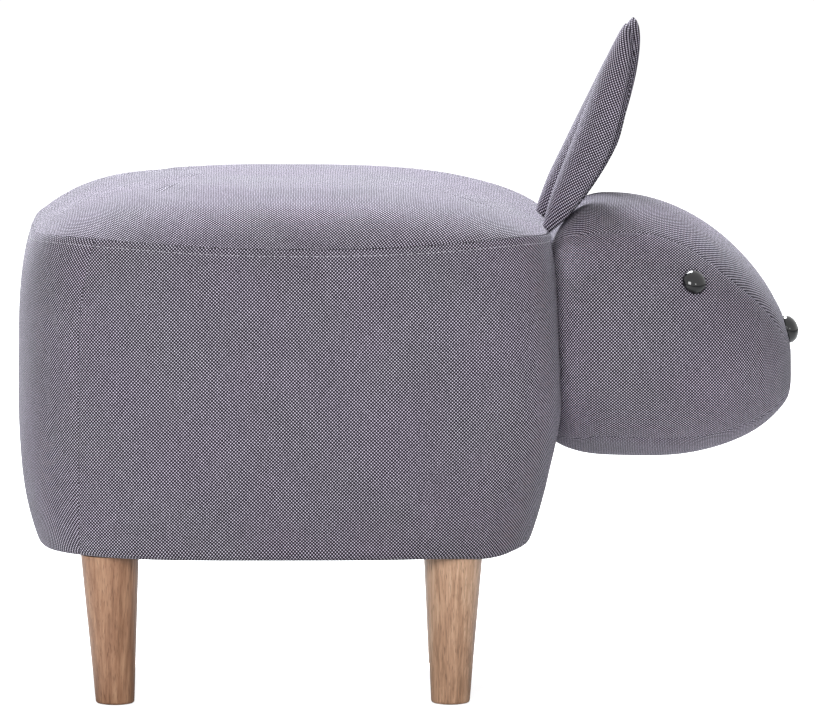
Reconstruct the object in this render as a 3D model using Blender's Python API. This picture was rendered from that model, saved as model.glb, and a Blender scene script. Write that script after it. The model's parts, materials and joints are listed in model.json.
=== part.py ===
"""Rabbit footstool: an upholstered box body on four turned legs, with a stuffed head and ears.

Metres, +Z up. X runs from the tail end to the nose and Y to the animal's left.
The origin is on the floor, under the middle of the whole stool.
"""
import math

import bmesh
import bpy
import numpy as np
from mathutils import Matrix, Vector

# Clearance between pieces that touch
GAP = 0.0003

# Body: the padded box
BODY_LENGTH = 0.4324
BODY_WIDTH = 0.340
STAND_HEIGHT = 0.120
SEAM_RISE = 0.2478
CROWN = 0.0391
CROWN_SETBACK = 0.0414
COVER = 0.002
HEM_TURN = 0.021
FRONT_CORNER_LIFT = 0.0066
REAR_CORNER_LIFT = 0.0067

# How far the sides are drawn in at the hem and at the seam, past their fullest height
FRONT_HEM_DRAW = 0.0244
FRONT_SEAM_DRAW = 0.0094
REAR_HEM_DRAW = 0.014
REAR_SEAM_DRAW = 0.009
SIDE_HEM_DRAW = 0.008
SIDE_SEAM_DRAW = 0.008
FRONT_FULL_SHARE = 0.435
REAR_FULL_SHARE = 0.56
SIDE_FULL_SHARE = 0.50

# Corner seams of the covers, in from the sides of the body
FRONT_CORNER_INSET = 0.070
REAR_CORNER_INSET = 0.025

# Exponents: squareness of the plan outline and fullness of the sides
FRONT_SQUARENESS = 6.0
FRONT_HEM_SQUARENESS = 3.2
FRONT_SEAM_SQUARENESS = 4.8
REAR_SQUARENESS = 3.6
FRONT_FULLNESS = (1.2, 2.5)
REAR_FULLNESS = (4.0, 5.0)
SIDE_FULLNESS = (4.0, 4.0)

# Exponents of the domed seat, how flat it is on top and how steep at its seam
CROWN_FRONT = (4.33, 0.79)
CROWN_REAR = (3.04, 1.08)
CROWN_SIDE = (5.84, 1.01)

# Where the padded surfaces have their rows of points
LOWER_SHARES = (0.04, 0.12, 0.26, 0.48, 0.75)
UPPER_SHARES = (0.4, 0.75)
CROWN_SHARES = (0.97, 0.935, 0.89, 0.82, 0.70, 0.45)
FRONT_COLUMNS = 3
SIDE_COLUMNS = 14
REAR_COLUMNS = 5
CORNER_WEIGHT = 0.5

# Frame and padding
THIN_FOAM = 0.005
SEAT_FOAM_EDGE = 0.038
WRAP = 0.003
BASE_BOARD = 0.015
SEAT_BOARD = 0.012
SIDE_BOARD = 0.012
FRONT_BOARD = 0.015
BRACE_BOARD = 0.012
CORNER_BLOCK = 0.030
BOX_TO_WRAP = 0.002
DUST_COVER = 0.0008
DUST_COVER_INSET = 0.010

# Legs, from the ends and sides of the body, with the slant of each foot
FRONT_LEG_INSET = 0.0876
REAR_LEG_INSET = 0.0712
SIDE_LEG_INSET = 0.056
LEG_TOP_RADIUS = 0.023
LEG_FOOT_RADIUS = 0.0155
LEG_FOOT_ROUNDING = 0.0022
FRONT_FOOT_SHIFT = -0.0024
REAR_FOOT_SHIFT = 0.004
GLIDE_RADIUS = 0.0105
GLIDE_THICKNESS = 0.0016
GLIDE_PIN_RADIUS = 0.0014
GLIDE_PIN_LENGTH = 0.012

# Hanger bolts and tee nuts
HANGER_RADIUS = 0.004
HANGER_IN_LEG = 0.030
HANGER_POINT = 0.003
HANGER_PROUD = 0.004
TEE_BARREL_RADIUS = 0.005
TEE_BARREL_LENGTH = 0.009
TEE_FLANGE_RADIUS = 0.010
TEE_FLANGE = 0.0012
BOARD_TO_TEE = 0.002

# Head: an egg with a drooping muzzle, widest a little ahead of the body
HEAD_NECK = 0.0338
HEAD_FRONT_RUN = 0.1504
HEAD_REAR_RUN = 0.071
HEAD_HALF_WIDTH = 0.112
HEAD_HALF_HEIGHT = 0.1052
HEAD_BELOW_SEAM = 0.0774
MUZZLE_DROOP = 0.0317
NECK_DROOP = 0.026
HEAD_COVER = 0.002
HEAD_SECTION_POWER = 0.909
MUZZLE_POWERS = (0.80, 0.93)
GUSSET_HALF_ANGLE = 42.0
CHIN_HALF_ANGLE = 41.0
HEAD_STATIONS = (-58, -38, -19, 0, 14, 28, 42, 54, 65, 74, 81, 86, 89)
GUSSET_COLUMNS = 6
CHEEK_COLUMNS = 9
CHIN_COLUMNS = 6

# Head plate and its bolts through the front board
PLATE = 0.012
PLATE_HALF_WIDTH = 0.050
PLATE_HALF_HEIGHT = 0.055
PLATE_BELOW_HEAD = 0.029
PLATE_SQUARENESS = 3.0
BOLT_SPREAD = 0.028
BOLT_RADIUS = 0.004
BOLT_HEAD_RADIUS = 0.009
BOLT_HEAD = 0.0045
BOLT_DOME_SHARES = ((0.8, 0.6), (0.4, 1.0))
BOLT_PROUD = 0.003
WASHER_RADIUS = 0.009
WASHER = 0.0016
NUT_RADIUS = 0.0075
NUT = 0.0065

# Eyes and nose: domed buttons with a stem and a washer behind the cover
EYE_STATION = 28.0
EYE_AROUND = 60.2
EYE_RADIUS = 0.0100
EYE_HEIGHT = 0.0070
NOSE_STATION = 77.5
NOSE_RADIUS = 0.0112
NOSE_HEIGHT = 0.0075
STEM_RADIUS = 0.0022
STEM_LENGTH = 0.013
BUTTON_WASHER_RADIUS = 0.008
BUTTON_WASHER = 0.0015
COVER_TO_BUTTON_WASHER = 0.0016
DOME_ANGLES = (0, 20, 40, 58, 75)

# Ears: long leaves folded lengthwise, open to the front
EAR_LENGTH = 0.182
EAR_LEAN = 19.6
LEFT_EAR_EXTRA_LEAN = 5.0
LEFT_EAR_SETBACK = 0.011
EAR_SPREAD = 0.040
EAR_BASE_LIFT = -0.0023
EAR_HALF_WIDTH = 0.021
EAR_DEPTH = 0.0245
EAR_THICKNESS = 0.0075
EAR_EDGE = 0.0016
EAR_FILL_POWER = 4.0
EAR_TAPER = 1.4
EAR_FOLD = 112.0
EAR_BASE_TURN = -16.0
EAR_TIP_TURN = 20.0
EAR_LEAF_POWER = 0.52
EAR_SHARES = (0.0, 0.03, 0.09, 0.2, 0.36, 0.54, 0.72, 0.86, 0.95, 0.99, 1.0)
EAR_COLUMNS = 8

# Sides of the round pieces
ROUND_SIDES = 24
SMALL_SIDES = 12
NUT_SIDES = 6

# Worked out from the sizes above
DUST_COVER_Z = STAND_HEIGHT + GAP
HEM_Z = DUST_COVER_Z + DUST_COVER + GAP
SEAM_Z = HEM_Z + SEAM_RISE
CROWN_Z = SEAM_Z + CROWN
BASE_Z = HEM_Z + COVER + GAP
BASE_TOP_Z = BASE_Z + BASE_BOARD
BOARD_TOP_Z = SEAM_Z - SEAT_FOAM_EDGE
SEAT_BOARD_Z = BOARD_TOP_Z - SEAT_BOARD
NOSE_REACH = HEAD_NECK + HEAD_FRONT_RUN * math.sin(math.radians(NOSE_STATION)) + NOSE_HEIGHT
BODY_MID_X = BODY_LENGTH / 2 - (BODY_LENGTH + NOSE_REACH) / 2
BODY_FRONT_X = BODY_MID_X + BODY_LENGTH / 2
HEAD_MID_X = BODY_FRONT_X + HEAD_NECK
HEAD_MID_Z = SEAM_Z - HEAD_BELOW_SEAM
PLATE_Z = HEAD_MID_Z - PLATE_BELOW_HEAD
LEG_Y = BODY_WIDTH / 2 - SIDE_LEG_INSET
BOX_HALF_WIDTH = LEG_Y - TEE_FLANGE_RADIUS - BOARD_TO_TEE

FABRIC = ((0.20, 0.18, 0.215, 1.0), 0.9, 0.0)
LINING = ((0.02, 0.02, 0.022, 1.0), 0.95, 0.0)
FOAM = ((0.80, 0.76, 0.62, 1.0), 0.95, 0.0)
PLYWOOD = ((0.55, 0.40, 0.25, 1.0), 0.7, 0.0)
HARDBOARD = ((0.25, 0.15, 0.09, 1.0), 0.7, 0.0)
TURNED_WOOD = ((0.36, 0.21, 0.13, 1.0), 0.45, 0.0)
STEEL = ((0.60, 0.60, 0.62, 1.0), 0.35, 1.0)
PLASTIC = ((0.02, 0.02, 0.022, 1.0), 0.5, 0.0)
GLOSS_BLACK = ((0.008, 0.008, 0.010, 1.0), 0.06, 0.0)


def clear_scene():
    """Remove what the scene holds."""
    for item in list(bpy.data.objects):
        bpy.data.objects.remove(item, do_unlink=True)


# Making objects

def add_object(name, bm, finish, smooth=None):
    """Make a named object with its own material from a finished bmesh."""
    bmesh.ops.recalc_face_normals(bm, faces=bm.faces)
    mesh = bpy.data.meshes.new(name)
    bm.to_mesh(mesh)
    bm.free()
    if smooth:
        mesh.shade_smooth()
        mesh.set_sharp_from_angle(angle=math.radians(smooth))
    colour, roughness, metallic = finish
    material = bpy.data.materials.new(name)
    material.use_nodes = True
    shader = material.node_tree.nodes["Principled BSDF"]
    shader.inputs["Base Color"].default_value = colour
    shader.inputs["Roughness"].default_value = roughness
    shader.inputs["Metallic"].default_value = metallic
    mesh.materials.append(material)
    item = bpy.data.objects.new(name, mesh)
    bpy.context.scene.collection.objects.link(item)
    item.parent = bpy.data.objects["footstool"]
    return item


def add_cutter(name, bm):
    """Make a hidden shape that is only there to be cut away from others."""
    item = add_object(name, bm, PLASTIC)
    item.hide_render = True
    item.display_type = "WIRE"
    return item


def cut(item, *cutters):
    """Cut each cutter out of an object."""
    for cutter in cutters:
        step = item.modifiers.new(cutter.name, "BOOLEAN")
        step.operation = "DIFFERENCE"
        step.object = cutter


def loft(rings, cyclic=False):
    """Join rings of points into a closed skin; a ring of one point is a pole."""
    bm = bmesh.new()
    loft_into(bm, rings, cyclic)
    return bm


def loft_into(bm, rings, cyclic=False):
    """Add a lofted body to a bmesh."""
    loops = [[bm.verts.new(point) for point in ring] for ring in rings]
    pairs = list(zip(loops, loops[1:]))
    if cyclic:
        pairs.append((loops[-1], loops[0]))
    for low, high in pairs:
        for this in range(max(len(low), len(high))):
            following = (this + 1) % max(len(low), len(high))
            if len(low) == 1:
                bm.faces.new((low[0], high[following], high[this]))
            elif len(high) == 1:
                bm.faces.new((low[this], low[following], high[0]))
            else:
                bm.faces.new((low[this], low[following], high[following], high[this]))
    if not cyclic:
        for end in (loops[0], loops[-1]):
            if len(end) > 1:
                bm.faces.new(end)


def shell(outer, inner):
    """Close two matching grids of points into one padded or thin solid."""
    bm = bmesh.new()
    grids = [[[bm.verts.new(point) for point in row] for row in grid] for grid in (outer, inner)]
    for grid in grids:
        for low, high in zip(grid, grid[1:]):
            for corners in zip(low, low[1:], high[1:], high):
                bm.faces.new(corners)
    borders = [grid_border(grid) for grid in grids]
    for this in range(len(borders[0])):
        following = (this + 1) % len(borders[0])
        bm.faces.new((borders[0][this], borders[0][following],
                      borders[1][following], borders[1][this]))
    return bm


def grid_border(grid):
    """The points round the edge of a grid, in order."""
    last_column = [row[-1] for row in grid[1:-1]]
    first_column = [row[0] for row in grid[1:-1]]
    return grid[0] + last_column + grid[-1][::-1] + first_column[::-1]


def round_ring(radius, height, sides, shift=0.0):
    """A circle of points across Z; no radius gives a pole."""
    if radius == 0:
        return [Vector((shift, 0, height))]
    turns = [2 * math.pi * side / sides for side in range(sides)]
    return [Vector((shift + radius * math.cos(turn), radius * math.sin(turn), height))
            for turn in turns]


def turned(profile, sides, cyclic=False):
    """Turn a profile of (radius, height) or (radius, height, shift) round Z."""
    return loft([round_ring(point[0], point[1], sides, *point[2:]) for point in profile], cyclic)


def cylinder_into(bm, radius, low, high, at, sides=ROUND_SIDES, axis=(0, 0, 1)):
    """Add a closed cylinder to a bmesh, from low to high along an axis through a point."""
    rings = [round_ring(radius, height, sides) for height in (low, high)]
    turn = Vector((0, 0, 1)).rotation_difference(Vector(axis)).to_matrix().to_4x4()
    place = Matrix.Translation(at) @ turn
    loft_into(bm, [[place @ point for point in ring] for ring in rings])


def box(low, high):
    """A closed box between two corners."""
    bm = bmesh.new()
    bmesh.ops.create_cube(bm, size=1.0)
    low, high = Vector(low), Vector(high)
    size = high - low
    middle = (high + low) / 2
    for vert in bm.verts:
        vert.co = Vector(side * length for side, length in zip(vert.co, size)) + middle
    return bm


# The body's surface

def draw_in(rise, hem, seam, full, powers):
    """How far a side is drawn in at a share of the height from hem to seam."""
    if rise < full:
        return hem * ((full - rise) / full) ** powers[0]
    return seam * ((rise - full) / (1 - full)) ** powers[1]


def front_squareness(rise):
    """Exponent of the outline's front half: rounder towards the hem and the seam."""
    changes = (FRONT_HEM_SQUARENESS - FRONT_SQUARENESS, FRONT_SEAM_SQUARENESS - FRONT_SQUARENESS)
    return FRONT_SQUARENESS + draw_in(rise, *changes, FRONT_FULL_SHARE, FRONT_FULLNESS)


def body_runs(rise, depth):
    """The body's half sizes to the front, rear and side at a depth, and its front squareness."""
    front = draw_in(rise, FRONT_HEM_DRAW, FRONT_SEAM_DRAW, FRONT_FULL_SHARE, FRONT_FULLNESS)
    rear = draw_in(rise, REAR_HEM_DRAW, REAR_SEAM_DRAW, REAR_FULL_SHARE, REAR_FULLNESS)
    side = draw_in(rise, SIDE_HEM_DRAW, SIDE_SEAM_DRAW, SIDE_FULL_SHARE, SIDE_FULLNESS)
    runs = (BODY_LENGTH / 2 - front, BODY_LENGTH / 2 - rear, BODY_WIDTH / 2 - side)
    return inset(runs + (front_squareness(rise),), depth)


def inset(runs, depth):
    """The half sizes of an outline at a depth inside another."""
    return tuple(run - depth for run in runs[:3]) + (runs[3],)


def outline_point(angle, runs):
    """A point of a rounded outline, at an angle from the front about the body's middle."""
    along, across = math.cos(angle), math.sin(angle)
    run, squareness = (runs[0], runs[3]) if along > 0 else (runs[1], REAR_SQUARENESS)
    reach = (abs(along / run) ** squareness + abs(across / runs[2]) ** squareness) ** (-1 / squareness)
    return Vector((BODY_MID_X + reach * along, reach * across, 0))


def outline_ends(y, runs):
    """How far an outline reaches to the front and to the rear at a distance across."""
    front, rear = [(1 - (y / runs[2]) ** power) ** (1 / power) for power in (runs[3], REAR_SQUARENESS)]
    return runs[0] * front, runs[1] * rear


def outline_ring(angles, runs, z):
    """An outline's points at a height."""
    return [outline_point(angle, runs) + Vector((0, 0, z)) for angle in angles]


def corner_lift(angle):
    """How far the seat seam is pulled up towards the corners."""
    runs = body_runs(1, 0)
    place = outline_point(angle, runs) - Vector((BODY_MID_X, 0, 0))
    if place.x > 0:
        run, squareness, lift = runs[0], runs[3], FRONT_CORNER_LIFT
    else:
        run, squareness, lift = runs[1], REAR_SQUARENESS, REAR_CORNER_LIFT
    return 2 * lift * abs(place.x / run * place.y / runs[2]) ** (squareness / 2)


def seam_height(angle):
    """Height of the seat seam."""
    return SEAM_Z + corner_lift(angle)


def wall_point(angle, z, depth):
    """A point of the body's side at a height, at a depth in its skin."""
    rise = (z - HEM_Z) / (seam_height(angle) - HEM_Z)
    runs = body_runs(min(max(rise, 0), 1), depth)
    return outline_point(angle, runs) + Vector((0, 0, z))


def lower_heights(bottom):
    """Heights of the rows from the hem to the seat board's top."""
    shares = [HEM_Z + share * (BOARD_TOP_Z - HEM_Z) for share in LOWER_SHARES]
    return [bottom] + shares + [BOARD_TOP_Z]


def upper_row(angles, share, depth, lift=0.0):
    """A row of side points between the seat board's top and the seam."""
    heights = [BOARD_TOP_Z + share * (seam_height(angle) - BOARD_TOP_Z) + lift for angle in angles]
    return [wall_point(angle, z, depth) for angle, z in zip(angles, heights)]


def crown_rise(angle, share):
    """How far up the dome is, from its seam to its top, at a share of the way out."""
    ends = math.cos(angle) ** 2
    end_powers = CROWN_FRONT if math.cos(angle) > 0 else CROWN_REAR
    flatness, steepness = [end * ends + side * (1 - ends) for end, side in zip(end_powers, CROWN_SIDE)]
    return (1 - share ** flatness) ** steepness


def crown_ring(angles, share, depth, lift=0.0):
    """A ring of the domed seat, at a share of the way out to the seam."""
    runs = body_runs(1, depth)
    middle = Vector((BODY_MID_X, 0, 0))
    ring = []
    for angle in angles:
        rise = crown_rise(angle, share)
        place = middle + (outline_point(angle, runs) - middle) * share
        place.x -= CROWN_SETBACK * (1 - share ** 2)
        place.z = SEAM_Z + corner_lift(angle) * (1 - rise) + (CROWN - depth) * rise + lift
        ring.append(place)
    return ring


def crown_pole(depth, lift=0.0):
    """The top of the domed seat."""
    return [Vector((BODY_MID_X - CROWN_SETBACK, 0, CROWN_Z - depth + lift))]


# Where the panels of the covers meet, as angles from the front

def corner_angles():
    """Angles of the front and rear corner seams on the left side."""
    runs = body_runs(SIDE_FULL_SHARE, 0)
    front_y = BODY_WIDTH / 2 - FRONT_CORNER_INSET
    rear_y = BODY_WIDTH / 2 - REAR_CORNER_INSET
    front_x = outline_ends(front_y, runs)[0]
    rear_x = outline_ends(rear_y, runs)[1]
    return math.atan2(front_y, front_x), math.atan2(rear_y, -rear_x)


def spread_angles(start, end, columns):
    """Angles spaced along the body's outline, closer together where it turns."""
    fine = np.linspace(start, end, 20 * columns + 1)
    runs = body_runs(SIDE_FULL_SHARE, 0)
    places = np.array([outline_point(angle, runs)[:2] for angle in fine])
    steps = np.diff(places, axis=0)
    lengths = np.hypot(*steps.T)
    headings = np.unwrap(np.arctan2(steps[:, 1], steps[:, 0]))
    turning = np.abs(np.gradient(headings))
    travelled = np.concatenate(([0.0], np.cumsum(lengths + CORNER_WEIGHT * BODY_WIDTH * turning)))
    wanted = np.linspace(0, travelled[-1], columns + 1)
    return [float(angle) for angle in np.interp(wanted, travelled, fine)]


def trimmed(angles):
    """Pull the end angles of a panel in by half a gap."""
    trim = GAP / 2 / (BODY_WIDTH / 2)
    return [angles[0] + trim] + angles[1:-1] + [angles[-1] - trim]


def panel_angles():
    """Angles of the rows of points of each panel, by name, and of a full ring."""
    front, rear = corner_angles()
    panels = {
        "front": spread_angles(-front, front, 2 * FRONT_COLUMNS),
        "left": spread_angles(front, rear, SIDE_COLUMNS),
        "rear": spread_angles(rear, 2 * math.pi - rear, 2 * REAR_COLUMNS),
    }
    panels["right"] = [-angle for angle in reversed(panels["left"])]
    ring = panels["front"][:-1] + panels["left"][:-1] + panels["rear"][:-1]
    ring += [2 * math.pi + angle for angle in panels["right"][:-1]]
    return panels, ring


PANELS, RING = panel_angles()


# Frame of the body

def board_runs():
    """Half sizes of the hardboard wrap's outside, and of the boards inside it."""
    depth = COVER + GAP + THIN_FOAM
    outer = [min(ends) for ends in zip(body_runs(0, depth), body_runs(1, depth))]
    inner = inset(outer, WRAP)
    return outer, inner, inset(inner, GAP)


def leg_places():
    """Where the legs stand, with the slant of each foot."""
    front_x = BODY_MID_X + BODY_LENGTH / 2 - FRONT_LEG_INSET
    rear_x = BODY_MID_X - BODY_LENGTH / 2 + REAR_LEG_INSET
    return {
        "front_right": (front_x, -LEG_Y, FRONT_FOOT_SHIFT),
        "front_left": (front_x, LEG_Y, FRONT_FOOT_SHIFT),
        "rear_right": (rear_x, -LEG_Y, REAR_FOOT_SHIFT),
        "rear_left": (rear_x, LEG_Y, REAR_FOOT_SHIFT),
    }


def leg_holes(name, radius, low, high):
    """A cutter with a round hole at each leg."""
    bm = bmesh.new()
    for x, y, _ in leg_places().values():
        cylinder_into(bm, radius, low, high, (x, y, 0))
    return add_cutter(name, bm)


def make_boards():
    """The base and seat boards and the hardboard wrap round them."""
    outer, inner, boards = board_runs()
    base = add_object("base_board", loft([outline_ring(RING, boards, z) for z in (BASE_Z, BASE_TOP_Z)]),
                      PLYWOOD)
    cut(base, leg_holes("tee_nut_holes", TEE_BARREL_RADIUS + GAP, BASE_Z - BASE_BOARD,
                        BASE_TOP_Z + BASE_BOARD))
    add_object("seat_board", loft([outline_ring(RING, boards, z) for z in (SEAT_BOARD_Z, BOARD_TOP_Z)]),
               PLYWOOD)
    wrap_rings = [outline_ring(RING, outer, BASE_Z), outline_ring(RING, outer, BOARD_TOP_Z),
                  outline_ring(RING, inner, BOARD_TOP_Z), outline_ring(RING, inner, BASE_Z)]
    return add_object("side_wrap", loft(wrap_rings, cyclic=True), HARDBOARD)


def box_ends():
    """Where the box of upright boards ends, at the front and at the rear."""
    front, rear = outline_ends(BOX_HALF_WIDTH, board_runs()[2])
    return BODY_MID_X + front - BOX_TO_WRAP, BODY_MID_X - rear + BOX_TO_WRAP


def make_box():
    """The upright boards between base and seat board, with brace and corner blocks."""
    front, rear = box_ends()
    low, high = BASE_TOP_Z + GAP, SEAT_BOARD_Z - GAP
    front_board = add_object("front_board", box((front - FRONT_BOARD, -BOX_HALF_WIDTH, low),
                                                (front, BOX_HALF_WIDTH, high)), PLYWOOD)
    add_object("rear_board", box((rear, -BOX_HALF_WIDTH, low), (rear + SIDE_BOARD, BOX_HALF_WIDTH, high)),
               PLYWOOD)
    start, end = rear + SIDE_BOARD + GAP, front - FRONT_BOARD - GAP
    inside = BOX_HALF_WIDTH - SIDE_BOARD
    for name, side in (("right", -1), ("left", 1)):
        faces = sorted((side * inside, side * BOX_HALF_WIDTH))
        add_object(name + "_side_board", box((start, faces[0], low), (end, faces[1], high)), PLYWOOD)
    middle = (start + end) / 2
    add_object("centre_brace", box((middle - BRACE_BOARD / 2, GAP - inside, low),
                                   (middle + BRACE_BOARD / 2, inside - GAP, high)), PLYWOOD)
    for name, x in (("front", end - CORNER_BLOCK), ("rear", start)):
        for hand, side in (("right", -1), ("left", 1)):
            faces = sorted((side * (inside - GAP), side * (inside - GAP - CORNER_BLOCK)))
            add_object(f"{name}_{hand}_corner_block",
                       box((x + GAP if x == start else x, faces[0], low),
                           (x + CORNER_BLOCK if x == start else x + CORNER_BLOCK - GAP, faces[1], high)),
                       PLYWOOD)
    return front_board


# Legs and their fixings

def make_leg(name, x, y, shift):
    """A tapered leg with a hanger bolt, a tee nut and a glide."""
    foot_z = GLIDE_THICKNESS + GAP
    pin_bore = GLIDE_PIN_RADIUS + GAP
    bolt_bore = HANGER_RADIUS + GAP
    bore_end = STAND_HEIGHT - HANGER_IN_LEG - GAP
    arc = [math.radians(turn) for turn in (0, 45, 90)]
    foot = [(LEG_FOOT_RADIUS - LEG_FOOT_ROUNDING * (1 - math.sin(turn)),
             foot_z + LEG_FOOT_ROUNDING * (1 - math.cos(turn)), shift) for turn in arc]
    leg = add_object(name + "_leg", turned([
        (0, foot_z + GLIDE_PIN_LENGTH + GAP, shift),
        (pin_bore, foot_z + GLIDE_PIN_LENGTH + GAP, shift),
        (pin_bore, foot_z, shift)] + foot + [
        (LEG_TOP_RADIUS, STAND_HEIGHT, 0),
        (bolt_bore, STAND_HEIGHT, 0),
        (bolt_bore, bore_end, 0),
        (0, bore_end, 0)], ROUND_SIDES), TURNED_WOOD, smooth=40)
    glide = add_object(name + "_glide", turned((
        (0, 0), (GLIDE_RADIUS, 0), (GLIDE_RADIUS, GLIDE_THICKNESS),
        (GLIDE_PIN_RADIUS, GLIDE_THICKNESS), (GLIDE_PIN_RADIUS, foot_z + GLIDE_PIN_LENGTH),
        (0, foot_z + GLIDE_PIN_LENGTH)), SMALL_SIDES), PLASTIC, smooth=40)
    bolt_top = BASE_TOP_Z + TEE_FLANGE + HANGER_PROUD
    bolt = add_object(name + "_hanger_bolt", turned((
        (0, bore_end + GAP), (HANGER_RADIUS / 2, bore_end + GAP),
        (HANGER_RADIUS, bore_end + HANGER_POINT), (HANGER_RADIUS, bolt_top - HANGER_POINT / 2),
        (HANGER_RADIUS / 2, bolt_top), (0, bolt_top)), SMALL_SIDES), STEEL, smooth=40)
    flange_z = BASE_TOP_Z + GAP
    tee_nut = add_object(name + "_tee_nut", turned((
        (bolt_bore, flange_z - TEE_BARREL_LENGTH), (TEE_BARREL_RADIUS, flange_z - TEE_BARREL_LENGTH),
        (TEE_BARREL_RADIUS, flange_z), (TEE_FLANGE_RADIUS, flange_z),
        (TEE_FLANGE_RADIUS, flange_z + TEE_FLANGE), (bolt_bore, flange_z + TEE_FLANGE)),
        SMALL_SIDES, cyclic=True), STEEL, smooth=40)
    for item in (leg, bolt, tee_nut):
        item.location = (x, y, 0)
    glide.location = (x + shift, y, 0)


def make_dust_cover(bolt_holes):
    """The black sheet under the base, with a hole for each hanger bolt."""
    runs = body_runs(0, DUST_COVER_INSET)
    rings = [outline_ring(RING, runs, z) for z in (DUST_COVER_Z, DUST_COVER_Z + DUST_COVER)]
    sheet = add_object("dust_cover", loft(rings), LINING)
    cut(sheet, bolt_holes)


# Covers and padding of the body

def cover_grids(angles):
    """Outer and inner points of a cover panel, from its turned hem to the seat seam."""
    grids = []
    for depth in (0.0, COVER):
        turn = body_runs(0, HEM_TURN)
        rows = [outline_ring(angles, turn, HEM_Z + depth)]
        rows += [[wall_point(angle, z, depth) for angle in angles] for z in lower_heights(HEM_Z + depth)]
        rows += [upper_row(angles, share, depth) for share in UPPER_SHARES]
        rows.append(upper_row(angles, 1.0, depth, lift=-GAP / 2))
        grids.append(rows)
    return grids


def make_covers(bolt_holes):
    """The side, rear and front panels of the fitted cover, clear of the hanger bolts."""
    panels = {}
    for name in ("front", "left", "right", "rear"):
        word = name + "_side_cover" if name in ("left", "right") else name + "_cover"
        panels[name] = add_object(word, shell(*cover_grids(trimmed(PANELS[name]))), FABRIC, smooth=50)
        cut(panels[name], bolt_holes)
    return panels["front"]


def make_seat_cover():
    """The domed seat panel."""
    rings = []
    for depth in (0.0, COVER):
        side = [crown_ring(RING, share, depth, GAP / 2) for share in (1.0,) + CROWN_SHARES]
        side.append(crown_pole(depth, GAP / 2))
        rings.append(side)
    add_object("seat_cover", loft(rings[0][::-1] + rings[1]), FABRIC, smooth=50)


def make_side_foam():
    """The foam pads between the wrap and the side covers."""
    depth = COVER + GAP
    inner_runs = inset(board_runs()[0], -GAP)
    pads = {}
    for name in ("front", "left", "right", "rear"):
        angles = trimmed(PANELS[name])
        heights = lower_heights(BASE_Z)
        outer = [[wall_point(angle, z, depth) for angle in angles] for z in heights]
        inner = [outline_ring(angles, inner_runs, z) for z in heights]
        pads[name] = add_object(name + "_foam", shell(outer, inner), FOAM)
    return pads["front"]


def make_seat_foam():
    """The thick seat cushion on the seat board."""
    depth = COVER + GAP
    low = BOARD_TOP_Z + GAP
    rings = [[wall_point(angle, low, depth) for angle in RING]]
    rings += [upper_row(RING, share, depth) for share in UPPER_SHARES]
    rings += [crown_ring(RING, share, depth) for share in (1.0,) + CROWN_SHARES]
    rings.append(crown_pole(depth))
    add_object("seat_foam", loft(rings), FOAM)


def body_envelope():
    """The body's outside plus a gap, to cut what presses against it."""
    rings = [[wall_point(angle, z, -GAP) for angle in RING] for z in lower_heights(HEM_Z)]
    rings += [upper_row(RING, share, -GAP) for share in UPPER_SHARES]
    rings += [crown_ring(RING, share, -GAP, GAP / 2) for share in (1.0,) + CROWN_SHARES]
    rings.append(crown_pole(-GAP, GAP / 2))
    return add_cutter("body_envelope", loft(rings))


# The head's surface

def head_point(station, around, depth):
    """A point of the head: station from neck to muzzle, around from the top, in degrees."""
    sine, cosine = math.sin(math.radians(station)), math.cos(math.radians(station))
    if station > 0:
        run, droop, (width_power, height_power) = HEAD_FRONT_RUN, MUZZLE_DROOP, MUZZLE_POWERS
    else:
        run, droop, (width_power, height_power) = HEAD_REAR_RUN, NECK_DROOP, (1, 1)
    width = (HEAD_HALF_WIDTH - depth) * cosine ** width_power
    height = (HEAD_HALF_HEIGHT - depth) * cosine ** height_power
    across, up = math.sin(math.radians(around)), math.cos(math.radians(around))
    y = width * math.copysign(abs(across) ** HEAD_SECTION_POWER, across)
    z = height * math.copysign(abs(up) ** HEAD_SECTION_POWER, up)
    return Vector((HEAD_MID_X + (run - depth) * sine, y, HEAD_MID_Z - droop * sine ** 2 + z))


def head_normal(station, around):
    """The head's outward direction at a point."""
    step = 0.5
    along = head_point(station + step, around, 0) - head_point(station - step, around, 0)
    across = head_point(station, around + step, 0) - head_point(station, around - step, 0)
    return along.cross(across).normalized()


def around_angles(start, end, columns):
    """Evenly spaced angles round the head."""
    return [start + (end - start) * column / columns for column in range(columns + 1)]


def head_row(station, angles, depth, trim=True):
    """A row of head points at a station, pulled in by half a gap at its ends."""
    size = HEAD_HALF_HEIGHT * math.cos(math.radians(station))
    half_gap = math.degrees(GAP / size) if trim else 0.0
    ends = [angles[0] + half_gap] + angles[1:-1] + [angles[-1] - half_gap]
    return [head_point(station, angle, depth) for angle in ends]


def head_panels():
    """Angles round the head of each of its panels, in order."""
    chin_start, chin_end = 180 - CHIN_HALF_ANGLE, 180 + CHIN_HALF_ANGLE
    return {
        "head_gusset_cover": around_angles(-GUSSET_HALF_ANGLE, GUSSET_HALF_ANGLE, GUSSET_COLUMNS),
        "left_cheek_cover": around_angles(GUSSET_HALF_ANGLE, chin_start, CHEEK_COLUMNS),
        "chin_cover": around_angles(chin_start, chin_end, CHIN_COLUMNS),
        "right_cheek_cover": around_angles(chin_end, 360 - GUSSET_HALF_ANGLE, CHEEK_COLUMNS),
    }


def make_head_covers(envelope):
    """The crown gusset, the two cheek panels and the chin panel."""
    covers = {}
    for name, angles in head_panels().items():
        grids = [[head_row(station, angles, depth) for station in HEAD_STATIONS]
                 for depth in (0.0, HEAD_COVER)]
        covers[name] = add_object(name, shell(*grids), FABRIC, smooth=50)
        cut(covers[name], envelope)
    return covers


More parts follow.
